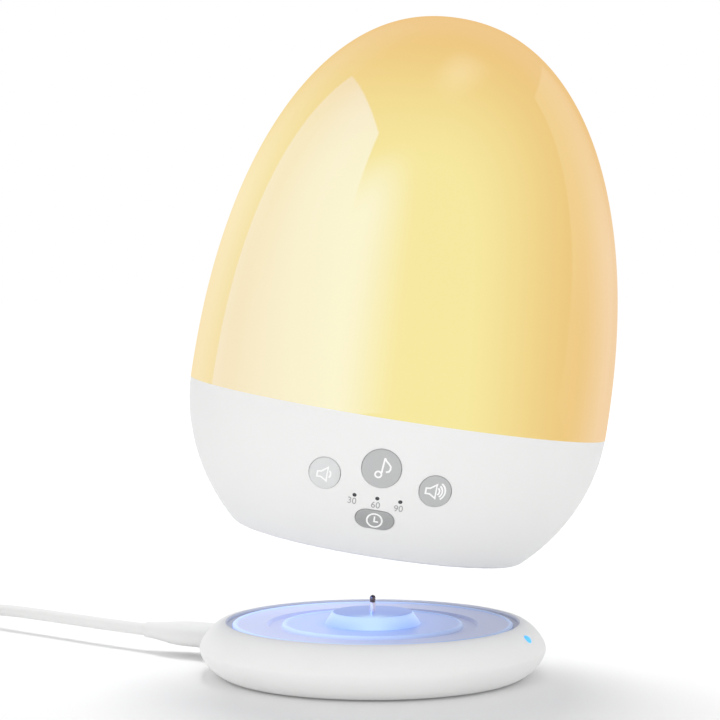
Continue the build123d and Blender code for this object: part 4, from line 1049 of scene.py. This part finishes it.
class SOUNDMACHINE_OT_labels(bpy.types.Operator):
    """Print the timer's numbers on the shell"""
    bl_idname = "sound_machine.labels"
    bl_label = "Timer Labels"

    def execute(self, context):
        digit_share = 0.7  # a digit's height over its font's size
        narrowing = 0.9
        thickness, sunk = 0.04 * MM, 0.01 * MM
        ink = moulded("Label ink", chosen("label_grey"), 0.5)
        nudges = scaled(((-0.5, -2.75), (-0.25, -2.92), (-0.25, -2.95)))
        for text, spot, nudge in zip(("30", "60", "90"), DOT_SPOTS, nudges):
            font = bpy.data.curves.new("label", "FONT")
            font.body = text
            font.align_x = "CENTER"
            font.size = context.scene.sound_machine_panel.label_height / digit_share
            font.extrude = thickness
            bm = baked(shown("label_" + text, font))
            for v in bm.verts:
                x = narrowing * v.co.x + spot[0] + nudge[0]
                y = v.co.y + spot[1] + nudge[1]
                v.co = cast(PANEL, x, y, v.co.z - sunk)
            piece("timer_label_" + text, bm, "sound_unit", "shell_white", place=EGG_PLACE, finish=ink)
        return {"FINISHED"}


# --- Dock ----------------------------------------------------------------------------------------
def dock_piece(name, line, slot, replaced, facets=160, **more):
    return piece(name, lathe(line, facets), "charging_dock", slot, replaced, **more)


def make_cover(settings):
    """The dock's upper shell, with painted shade on the lip and the wall round its recess."""
    edge = settings.lip_edge
    outer = [lower_flank(a) for a in steps(lower_flank_angle(DOCK_SPLIT), 0, 14)]
    outer += [upper_flank(a) for a in steps(0, pi / 2, 40)[1:]]
    lip = arc((LIP_RADIUS + edge * 0.8, DOCK_HEIGHT - edge), edge, 90, 225, 6)
    wall = [(RECESS_RADIUS, RECESS_FLOOR), (RECESS_RADIUS, RECESS_FLOOR - 1.5 * MM)]
    inner = scaled([(36, 11.9), (36, 10.4), (44, 10.2), (45.8, 9.2), (46.2, 7.7), (45.95, 5.2)])
    shell = dock_piece("dock_shell", outer + lip + wall + inner, "dock_white", "dock_cover")
    shell.data.materials.append(moulded("Recess wall", settings.recess_painted_shade, 0.5))
    # The faces of the lip and of the recess's wall take that second material: grey painted shade, for the shadow in the
    # recess.
    for face in shell.data.polygons:
        spot = face.center
        if hypot(spot.x, spot.y) < LIP_RADIUS + 0.3 * MM and spot.z > RECESS_FLOOR - MM:
            face.material_index = 1


def make_tray():
    """The dock's base, with a shallow recess below for its rubber pad."""
    tray = [lower_flank(a) for a in steps(lower_flank_angle(0.5 * MM), lower_flank_angle(DOCK_SPLIT), 20)]
    tray += scaled([(45.9, 5.2), (44.5, 3.6), (42, 3.1), (0, 3.1), (0, 1.5), (38.5, 1.5), (38.5, 0.5)])
    dock_piece("dock_tray", tray, "dock_white", "dock_base")


def make_plate(settings):
    """A shallow dish with a raised line, and a channel in which the egg's foot ring stands."""
    hub, low = BOSS_STEM + 0.2 * MM, PLATE_TOP - 0.1 * MM
    line = [(hub, PLATE_TOP), (PLATE_LINE - 0.45 * MM, PLATE_TOP)]
    line += arc((PLATE_LINE, low), 0.4 * MM, 165, 30, 7)
    line += [(CHANNEL_INNER, PLATE_TOP - 0.3 * MM), (CHANNEL_INNER + 0.15 * MM, RECESS_FLOOR)]
    line += [(CHANNEL_OUTER, RECESS_FLOOR), (CHANNEL_OUTER + 0.6 * MM, PLATE_TOP)]
    line += [(PLATE_RIM - 1.4 * MM, PLATE_TOP), *arc((PLATE_RIM - 0.7 * MM, low), 0.5 * MM, 165, 15, 7)]
    line += [(PLATE_RIM, PLATE_TOP - 0.05 * MM), (PLATE_RIM, PLATE_UNDERSIDE), (hub, PLATE_UNDERSIDE)]
    dock_piece("dock_glow_plate", line, "plate_blue", "light_plate", finish=plate_material(settings))


def make_boss(settings):
    """The truncated cone that centres the egg, with a softened top edge."""
    foot, seat = 9.1 * MM, PLATE_TOP - 0.1 * MM
    line = [(PIN_RADIUS, foot), (BOSS_STEM, foot), (BOSS_STEM, seat), (BOSS_BASE, seat)]
    line += arc((BOSS_SHOULDER - 0.55 * MM, BOSS_TOP - 0.6 * MM), 0.6 * MM, 30, 90, 6)
    line += [(PIN_RADIUS, BOSS_TOP)]
    finish = boss_material(settings)
    dock_piece("centring_boss", line, "plate_blue", "contact_boss", facets=120, finish=finish)


def make_pin():
    """The contact pin: a plated sleeve, a dark band and a round tip."""
    foot, waist, tip_foot = 9.2 * MM, PIN_RADIUS - 0.08 * MM, PIN_BAND + 0.5 * MM
    sleeve = [(0, foot), (PIN_RADIUS, foot), (PIN_RADIUS, PIN_BAND - 0.1 * MM)]
    sleeve += [(PIN_RADIUS - 0.1 * MM, PIN_BAND), (0, PIN_BAND)]
    band = [(0, PIN_BAND), (waist, PIN_BAND), (waist, tip_foot), (0, tip_foot)]
    tip = [(0, tip_foot), (PIN_RADIUS, tip_foot + 0.05 * MM), (PIN_RADIUS, PIN_TOP - PIN_RADIUS)]
    tip += arc((0, PIN_TOP - PIN_RADIUS), PIN_RADIUS, 10, 90, 9)
    dock_piece("pin_sleeve", sleeve, "contact_metal", "contact_sleeve", facets=40)
    dock_piece("pin_insulator", band, "contact_dark", "contact_insulator", facets=40)
    dock_piece("pin_tip", tip, "contact_dark", "contact_tip", facets=40)


def make_status_lens():
    """A small domed lens in the right of the flank."""
    angle = next(a for a in steps(0, pi / 2, 400) if upper_flank(a)[1] > STATUS_HEIGHT)
    r, z = upper_flank(angle)
    ahead = Vector(upper_flank(angle + 0.01)) - Vector((r, z))
    out = Vector((ahead.y, 0, -ahead.x)).normalized()
    place = Matrix.Rotation(STATUS_ANGLE, 4, "Z") @ frame_at(Vector((r, 0, z)), Vector((0, 1, 0)), out)
    depth, crown = -3.2 * MM, 0.6 * MM
    line = [(0, depth), (STATUS_RADIUS, depth), (STATUS_RADIUS, 0)]
    line += [(STATUS_RADIUS * cos(a), crown * sin(a)) for a in steps(radians(15), pi / 2, 7)]
    dock_piece("status_lens", line, "status_cyan", "status_light_pipe", facets=32, place=place)


class SOUNDMACHINE_OT_dock(bpy.types.Operator):
    """Make the dock's shell, lit plate, boss, contact pin and status light"""
    bl_idname = "sound_machine.dock"
    bl_label = "Dock"

    def execute(self, context):
        settings = context.scene.sound_machine_dock
        make_cover(settings)
        make_tray()
        make_plate(settings)
        make_boss(settings)
        make_pin()
        make_status_lens()
        return {"FINISHED"}


# --- Screws --------------------------------------------------------------------------------------
def screw_tree():
    """Cross-head screws, one at each point of the mesh it is given, head down, turned at random."""
    tree = bpy.data.node_groups.new("Cross-head screws", "GeometryNodeTree")
    inputs = {"Places": socket(tree, "Places", "Geometry")}
    for name, size in (("Head radius", 2.4), ("Head height", 0.9), ("Shank radius", 1), ("Shank length", 8),
                       ("Slot width", 0.6), ("Slot depth", 0.5)):
        inputs[name] = socket(tree, name, "Float", size * MM)
        inputs[name].subtype = "DISTANCE"
    inputs["Seed"] = socket(tree, "Seed", "Int", 7)
    inputs["Finish"] = socket(tree, "Finish", "Material")
    socket(tree, "Screws", "Geometry", output=True)
    given = wires(node(tree, "NodeGroupInput"))

    def moved(solid, height):
        shift = wire(tree, "ShaderNodeCombineXYZ", {"Z": height})
        return wire(tree, "GeometryNodeTransform", {"Geometry": solid, "Translation": shift})

    def bar(length, width):
        size = wire(tree, "ShaderNodeCombineXYZ", {"X": length, "Y": width, "Z": given["Slot depth"] * 2.0})
        return moved(wire(tree, "GeometryNodeMeshCube", {"Size": size}), given["Head height"])

    head = wire(tree, "GeometryNodeMeshCone", {
        "Vertices": 36, "Side Segments": 2, "Radius Bottom": given["Head radius"],
        "Radius Top": given["Head radius"] * 0.82, "Depth": given["Head height"]})
    shank = wire(tree, "GeometryNodeMeshCylinder", {
        "Vertices": 24, "Radius": given["Shank radius"], "Depth": given["Shank length"]})
    whole = node(tree, "GeometryNodeMeshBoolean", {"Mesh 2": head}, operation="UNION", solver="EXACT")
    feed(whole, {"Mesh 2": moved(shank, given["Shank length"] * -0.499)})
    cut = node(tree, "GeometryNodeMeshBoolean", {"Mesh 1": Wire(whole.outputs[0])}, operation="DIFFERENCE",
               solver="EXACT")
    reach = given["Head radius"] * 1.1
    for length, width in ((reach, given["Slot width"]), (given["Slot width"], reach)):
        feed(cut, {"Mesh 2": bar(length, width)})
    turns = wire(tree, "FunctionNodeRandomValue", {
        "Min": (pi, 0, 0), "Max": (pi, 0, pi / 2), "Seed": given["Seed"]}, data_type="FLOAT_VECTOR")
    spread = wire(tree, "GeometryNodeInstanceOnPoints", {
        "Points": given["Places"], "Instance": Wire(cut.outputs[0]), "Rotation": turns})
    real = wire(tree, "GeometryNodeRealizeInstances", {"Geometry": spread})
    finished = wire(tree, "GeometryNodeSetMaterial", {"Geometry": real, "Material": given["Finish"]})
    node(tree, "NodeGroupOutput", {0: finished})
    return tree, inputs


def ring_of_spots(radius, first, height):
    return [(radius * cos(a + first), radius * sin(a + first), height) for a in round_angles(4)]


class SOUNDMACHINE_OT_screws(bpy.types.Operator):
    """Set the screws of the egg's cover and of the dock's base"""
    bl_idname = "sound_machine.screws"
    bl_label = "Screws"

    def execute(self, context):
        tree, inputs = screw_tree()
        steel = finish_for("screw_steel")
        cover_spots = ring_of_spots(COVER_SCREW_CIRCLE, radians(45), COVER_SCREW_SEAT)
        base_spots = ring_of_spots(DOCK_SCREW_CIRCLE, radians(10), DOCK_SCREW_SEAT)
        sets = (
            ("egg_screws", "sound_unit", "cover_screws", cover_spots, 2.4 * MM, 8 * MM, EGG_PLACE),
            ("base_screws", "charging_dock", "dock_screws", base_spots, 1.9 * MM, 7 * MM, AT_ORIGIN),
        )
        for name, body, replaced, spots, head_radius, shank_length, place in sets:
            places = bpy.data.meshes.new(name)
            places.from_pydata(spots, [], [])
            holder = shown(name, places)
            screws = holder.modifiers.new("Screws", "NODES")
            screws.node_group = tree
            values = {"Head radius": head_radius, "Shank length": shank_length, "Finish": steel}
            for key, value in values.items():
                screws[inputs[key].identifier] = value
            piece(name, faced(baked(holder)), body, "screw_steel", replaced, place=place, sharp=25.0)
        return {"FINISHED"}


# --- Lead ----------------------------------------------------------------------------------------
def coil_points(per_turn=16):
    """The turns of the put-away length: each turn has its own seat in the bundle."""
    seats = scaled([(22.6, 1.75), (19.1, 1.75), (15.6, 1.75), (17.35, 4.85), (20.9, 4.85), (15.7, 7.95),
                    (19.2, 7.95), (22.6, 7.95), (22.6, 1.75)])
    last_arc = COIL_EXIT_ANGLE - COIL_ENTRY_ANGLE
    sweep = COIL_TURNS * 2 * pi + last_arc
    count = ceil(sweep / (2 * pi) * per_turn)
    points = []
    for swept in steps(0, sweep, count + 1):
        turn = min(int(swept / (2 * pi)), COIL_TURNS)
        blend = smooth_step((swept - turn * 2 * pi) / (last_arc if turn == COIL_TURNS else SEAT_CHANGE))
        (r0, z0), (r1, z1) = seats[turn], seats[turn + 1]
        r = (r0 + (r1 - r0) * blend) / cos(pi / per_turn)
        angle = COIL_ENTRY_ANGLE + swept
        points.append(COIL_CENTRE + Vector((r * cos(angle), r * sin(angle), z0 + (z1 - z0) * blend)))
    return points


PLUG = Matrix.Rotation(PLUG_ANGLE, 4, "Z") @ Matrix.Translation((0, 0, PLUG_HEIGHT))
LEAD_EXIT = PLUG @ Vector((GRIP_END, 0, 0))
LEAD_ROUTE = [
    (-74.5, 44.6, 6.2),
    (-98.9, 66.3, 6.1),
    (-118.0, 82.7, 5.9),
    (-128.5, 91.8, 3.4),
]
TAIL_START = COIL_CENTRE + Vector((-COIL_MEET, 0, FLOOR_LINE))
TAIL_END = Vector((TAIL_START.x - 1 * MM, COIL_CENTRE.y - 27 * MM, 4 * MM))


def lead_piece(name, bm, slot, *nodes):
    return piece(name, bm, "charging_dock", slot, *nodes)


def plug_grip():
    """A flat moulded grip that flows down to the lead."""
    stations = [(GRIP_START, GRIP_WIDTH - 0.8 * MM, GRIP_TALL - 0.8 * MM, 2.7 * MM)]
    stations += [(GRIP_START + 0.4 * MM, GRIP_WIDTH, GRIP_TALL, 3.1 * MM)]
    bend = GRIP_START + GRIP_STRAIGHT
    for x in steps(bend, GRIP_END - 0.5 * MM, 14):
        share = smooth_step((x - bend) / (GRIP_END - bend)) ** 1.4
        width, tall = (size + (GRIP_NECK - size) * share for size in (GRIP_WIDTH, GRIP_TALL))
        stations.append((x, width, tall, tall / 2 - 0.1 * MM))
    stations.append((GRIP_END, 3.9 * MM, 3.9 * MM, 1.85 * MM))
    return lead_piece("plug_grip", lofted(stations, PLUG), "lead_white", "plug_overmould")


def coil_strap():
    """A soft strap that hugs the bundle of turns."""
    out = Vector((cos(STRAP_ANGLE), sin(STRAP_ANGLE), 0))
    along = Vector((-sin(STRAP_ANGLE), cos(STRAP_ANGLE), 0))
    centre = COIL_CENTRE + out * BUNDLE_RADIUS + Vector((0, 0, BUNDLE_HEIGHT))
    worn, full, inner = scaled([(12.25, 10.25, 3.2), (12.6, 10.6, 3.2), (11.2, 9.2, 2.6)])
    sections = ((-3.4, worn), (-3.0, full), (3.0, full), (3.4, worn), (3.4, inner), (-3.4, inner))
    rings = [[centre + out * a + Vector((0, 0, b)) + along * shift * MM for a, b in rounded_box(*shape)]
             for shift, shape in sections]
    return lead_piece("coil_strap", walled(rings, closed=True), "tie_grey", "lead_tie")


def far_plug():
    """The far plug: a moulded grip, an open metal shell and the tongue inside it."""
    way = TAIL_END - TAIL_START
    way.z = 0
    place = frame_at(TAIL_END, way.normalized(), Vector((0, 0, 1)))
    grip = [(0, 5, 5, 2.4), (3, 9, 6.4, 2.4), (6, 14, 7.6, 2), (9, 14.8, 7.9, 1.8), (23.2, 14.8, 7.9, 1.8),
            (23.8, 14, 7.2, 1.5)]
    shell = [(23.7, 12, 4.5, 0.4), (36, 12, 4.5, 0.4), (36, 11.4, 3.9, 0.2), (25, 11.4, 3.9, 0.2)]
    tongue = [(24.9, 10.8, 1.8, 0.2), (35, 10.8, 1.8, 0.2)]
    tongue_place = place @ Matrix.Translation((0, 0, 0.95 * MM))
    return [
        lead_piece("far_grip", lofted(scaled(grip), place), "lead_white", "far_plug_grip"),
        lead_piece("far_shell", lofted(scaled(shell), place), "plug_metal", "far_plug_shell"),
        lead_piece("far_tongue", lofted(scaled(tongue), tongue_place), "inner_plastic"),
    ]


class SOUNDMACHINE_OT_lead(bpy.types.Operator):
    """Lay the lead, with its plugs, its coil of spare length and its strap"""
    bl_idname = "sound_machine.lead"
    bl_label = "Lead"

    def execute(self, context):
        points = [LEAD_EXIT, *[Vector(p) * MM for p in LEAD_ROUTE], *coil_points(), TAIL_END]
        curve = bpy.data.curves.new("charging_lead", "CURVE")
        curve.dimensions = "3D"
        spline = curve.splines.new("NURBS")
        spline.points.add(len(points) - 1)
        for spot, place in zip(spline.points, points):
            spot.co = (*place, 1)
        spline.order_u = 3
        spline.use_endpoint_u = True
        spline.resolution_u = 6
        curve.bevel_depth = LEAD_DIAMETER / 2
        curve.bevel_resolution = 5
        curve.use_fill_caps = True
        curve.materials.append(finish_for("lead_white"))
        lead = shown("charging_lead", curve)
        dress(lead, "charging_dock", "lead_white", "lead", "lead_coil", "lead_tail")
        grip, strap, far_pieces = plug_grip(), coil_strap(), far_plug()
        return {"FINISHED"}


class SOUNDMACHINE_OT_fittings(bpy.types.Operator):
    """Give every carried-over part its own finish"""
    bl_idname = "sound_machine.fittings"
    bl_label = "Fittings"

    def execute(self, context):
        for part in frame["record"]["subparts"]:
            carried = frame["nodes"][part["node"]]
            if not carried.hide_render:
                carried.data.materials.clear()
                carried.data.materials.append(finish_for(part["material_slot"]))
        return {"FINISHED"}


# --- Stage ---------------------------------------------------------------------------------------
def sight(tree):
    """1 for the rays that show the background: straight from the camera, and off gloss or through glass."""
    rays = wires(node(tree, "ShaderNodeLightPath"))
    return rays["Is Camera Ray"], rays["Is Glossy Ray"].math("ADD", rays["Is Transmission Ray"], clamp=True)


def white_backdrop(name, colour, near_lift, far_lift):
    """A matt floor that is seen lifted to white, most of all where the lamps don't reach.

    Gloss and glass show it as plain white, as they show the world, so that no horizon lies in them.
    """
    material = bpy.data.materials.new(name)
    material.use_nodes = True
    tree = material.node_tree
    tree.nodes.clear()
    camera, gloss = sight(tree)
    away = wire(tree, "ShaderNodeVectorMath", {0: own_place(tree)}, output="Value", operation="LENGTH")
    lifted = camera * ranged(away, 0.1, 1.2, near_lift, far_lift, kind="LINEAR")
    matt = wire(tree, "ShaderNodeBsdfDiffuse", {"Color": (*colour, 1)})
    lit = wire(tree, "ShaderNodeEmission", {"Strength": lifted})
    both = wire(tree, "ShaderNodeAddShader", {0: matt, 1: lit})
    white = wire(tree, "ShaderNodeEmission")
    seen = wire(tree, "ShaderNodeMixShader", {0: gloss, 1: both, 2: white})
    node(tree, "ShaderNodeOutputMaterial", {"Surface": seen})
    return material


def area_lamp(name, size, radiance, place, colour=(1, 1, 1), glossy=False):
    """A soft lamp in the X-Y plane of `place`, shining along that frame's -Z."""
    lamp = bpy.data.lights.new(name, "AREA")
    lamp.shape = "RECTANGLE"
    lamp.size, lamp.size_y = size
    lamp.energy = radiance * pi * size[0] * size[1]
    lamp.color = colour
    made = shown(name, lamp)
    made.matrix_world = place
    made.visible_camera = False
    made.visible_glossy = glossy
    return made


def facing(bearing, rise, reach, middle=DOME_MIDDLE):
    """A frame out along a bearing and a rise in degrees, which faces the middle. In front is bearing 0."""
    turn, up = radians(bearing), radians(rise)
    away = Vector((sin(turn) * cos(up), -cos(turn) * cos(up), sin(up)))
    return frame_at(away * reach + middle, Vector((cos(turn), sin(turn), 0)), away)


def upright_place(bearing, reach, height):
    return facing(bearing, 0, reach, Vector((0, 0, height)))


def gloss_card(name, size, radiance, colour, place, fades):
    """A card that only polished pieces show.

    Each fade is (axis, start, end, least): the card dims from start to end along its own axis 0 or 1.
    """
    card = area_lamp(name, size, radiance, place, colour, glossy=True)
    card.visible_diffuse = False
    polished = bpy.data.collections.get("Polished") or bpy.data.collections.new("Polished")
    for key in POLISHED:
        if key not in polished.objects:
            polished.objects.link(bpy.data.objects[key])
    card.light_linking.receiver_collection = polished
    card.data.use_nodes = True
    tree = card.data.node_tree
    shares = []
    for axis, start, end, least in fades:
        way = place.col[axis].to_3d()
        spot = wire(tree, "ShaderNodeNewGeometry", output="Position")
        along = wire(tree, "ShaderNodeVectorMath", {0: spot, 1: way}, output="Value", operation="DOT_PRODUCT")
        origin = place.translation.dot(way)
        shares.append(ranged(along, origin + start, origin + end, 1.0, least))
    feed(tree.nodes["Emission"], {"Strength": prod(shares[1:], start=shares[0])})


def light_room(scene, ambient=0.6):
    """White where it is seen, and `ambient` as strong where it lights."""
    scene.world = bpy.data.worlds.new("Soft white room")
    scene.world.use_nodes = True
    tree = scene.world.node_tree
    camera, gloss = sight(tree)
    seen = camera.math("ADD", gloss, clamp=True)
    feed(tree.nodes["Background"], {"Color": (1, 1, 1, 1), "Strength": seen * (1 - ambient) + ambient})


class SOUNDMACHINE_OT_stage(bpy.types.Operator):
    """Make the pale floor, the soft light and the camera"""
    bl_idname = "sound_machine.stage"
    bl_label = "Stage"

    def execute(self, context):
        scene = context.scene
        bm = bmesh.new()
        bmesh.ops.create_grid(bm, x_segments=1, y_segments=1, size=FLOOR_REACH)
        mesh = bpy.data.meshes.new("floor")
        bm.to_mesh(mesh)
        bm.free()
        mesh.materials.append(white_backdrop("Pale floor", (0.9, 0.9, 0.9), 0.03, 0.48))
        floor = shown("floor", mesh)
        light_room(scene)
        area_lamp("key", (2.8, 0.4), 2.34, upright_place(-5, 1.3, 0.22))
        area_lamp("left_fill", (0.6, 0.6), 1.0, upright_place(-108, 0.9, 0.33))
        area_lamp("right_fill", (0.6, 0.6), 0.95, upright_place(110, 0.9, 0.33))
        area_lamp("overhead", (0.45, 0.45), 8.6, facing(178, 66, 1.0))
        cool = (0.13, 0.36, 1.0)
        gloss_card("left_card", (1.91, 2.1), 5.8, cool, upright_place(-83.5, 1.2, 1.05),
                   fades=((0, 0.4, -0.95, 0.5),))
        gloss_card("fading_card", (1.416, 1.9), 5.8, cool, upright_place(-17.5, 1.361, 0.95),
                   fades=((0, -0.463, 0.44, 0.0), (1, 0.0, 0.85, 0.0)))
        gloss_card("left_back_card", (1.2, 2.1), 0.6, (0.2, 0.6, 1.0), upright_place(-148, 1.2, 1.05),
                   fades=((1, -0.9, 0.4, 0.2),))
        band = upright_place(116, 0.3, 0.17) @ Matrix.Rotation(radians(-16), 4, "Z")
        gloss_card("right_card", (0.27, 0.38), 0.78, (0.6, 0.85, 1.0), band, fades=((1, 0.0, -0.19, 0.35),))
        gloss_card("top_card", (0.8, 0.5), 1.7, (0.5, 0.75, 1.0), facing(62, 74, 1.0),
                   fades=((0, 0.0, 0.4, 0.0), (0, 0.0, -0.4, 0.0), (1, 0.0, 0.25, 0.0), (1, 0.0, -0.25, 0.0)))
        scene.view_settings.view_transform = "Standard"
        camera = bpy.data.cameras.new("camera")
        camera.sensor_width = 36
        camera.lens = CAMERA_LENS
        scene.camera = shown("camera", camera)
        scene.camera.location = CAMERA_PLACE
        scene.camera.rotation_euler = (pi / 2 - CAMERA_DIP, 0, 0)
        return {"FINISHED"}


class SOUNDMACHINE_PT_panel(bpy.types.Panel):
    """Lists the machine's pieces and settings"""
    bl_idname = "SOUNDMACHINE_PT_panel"
    bl_label = "Sound Machine"
    bl_space_type = "VIEW_3D"
    bl_region_type = "UI"
    bl_category = "Sound Machine"

    def draw(self, context):
        column = self.layout.column()
        for operator in OPERATORS:
            column.operator(operator.bl_idname)
        for name in SETTINGS:
            settings = getattr(context.scene, name)
            for key in settings.bl_rna.properties.keys():
                if key not in ("rna_type", "name"):
                    column.prop(settings, key)


OPERATORS = (
    SOUNDMACHINE_OT_dome, SOUNDMACHINE_OT_housing, SOUNDMACHINE_OT_buttons, SOUNDMACHINE_OT_labels,
    SOUNDMACHINE_OT_dock, SOUNDMACHINE_OT_screws, SOUNDMACHINE_OT_lead, SOUNDMACHINE_OT_fittings,
    SOUNDMACHINE_OT_stage,
)
SETTINGS = {
    "sound_machine_colours": SoundMachineColours,
    "sound_machine_dome": SoundMachineDome,
    "sound_machine_panel": SoundMachinePanelSizes,
    "sound_machine_dock": SoundMachineDock,
}


def register():
    for kind in (*SETTINGS.values(), *OPERATORS, SOUNDMACHINE_PT_panel):
        bpy.utils.register_class(kind)
    for name, kind in SETTINGS.items():
        setattr(bpy.types.Scene, name, PointerProperty(type=kind))


def unregister():
    for name in SETTINGS:
        delattr(bpy.types.Scene, name)
    for kind in (SOUNDMACHINE_PT_panel, *reversed(OPERATORS), *reversed(SETTINGS.values())):
        bpy.utils.unregister_class(kind)


def main():
    register()
    bpy.ops.sound_machine.dome()
    bpy.ops.sound_machine.housing()
    bpy.ops.sound_machine.buttons()
    bpy.ops.sound_machine.labels()
    bpy.ops.sound_machine.dock()
    bpy.ops.sound_machine.screws()
    bpy.ops.sound_machine.lead()
    bpy.ops.sound_machine.fittings()
    bpy.ops.sound_machine.stage()


if __name__ == "__main__":
    main()
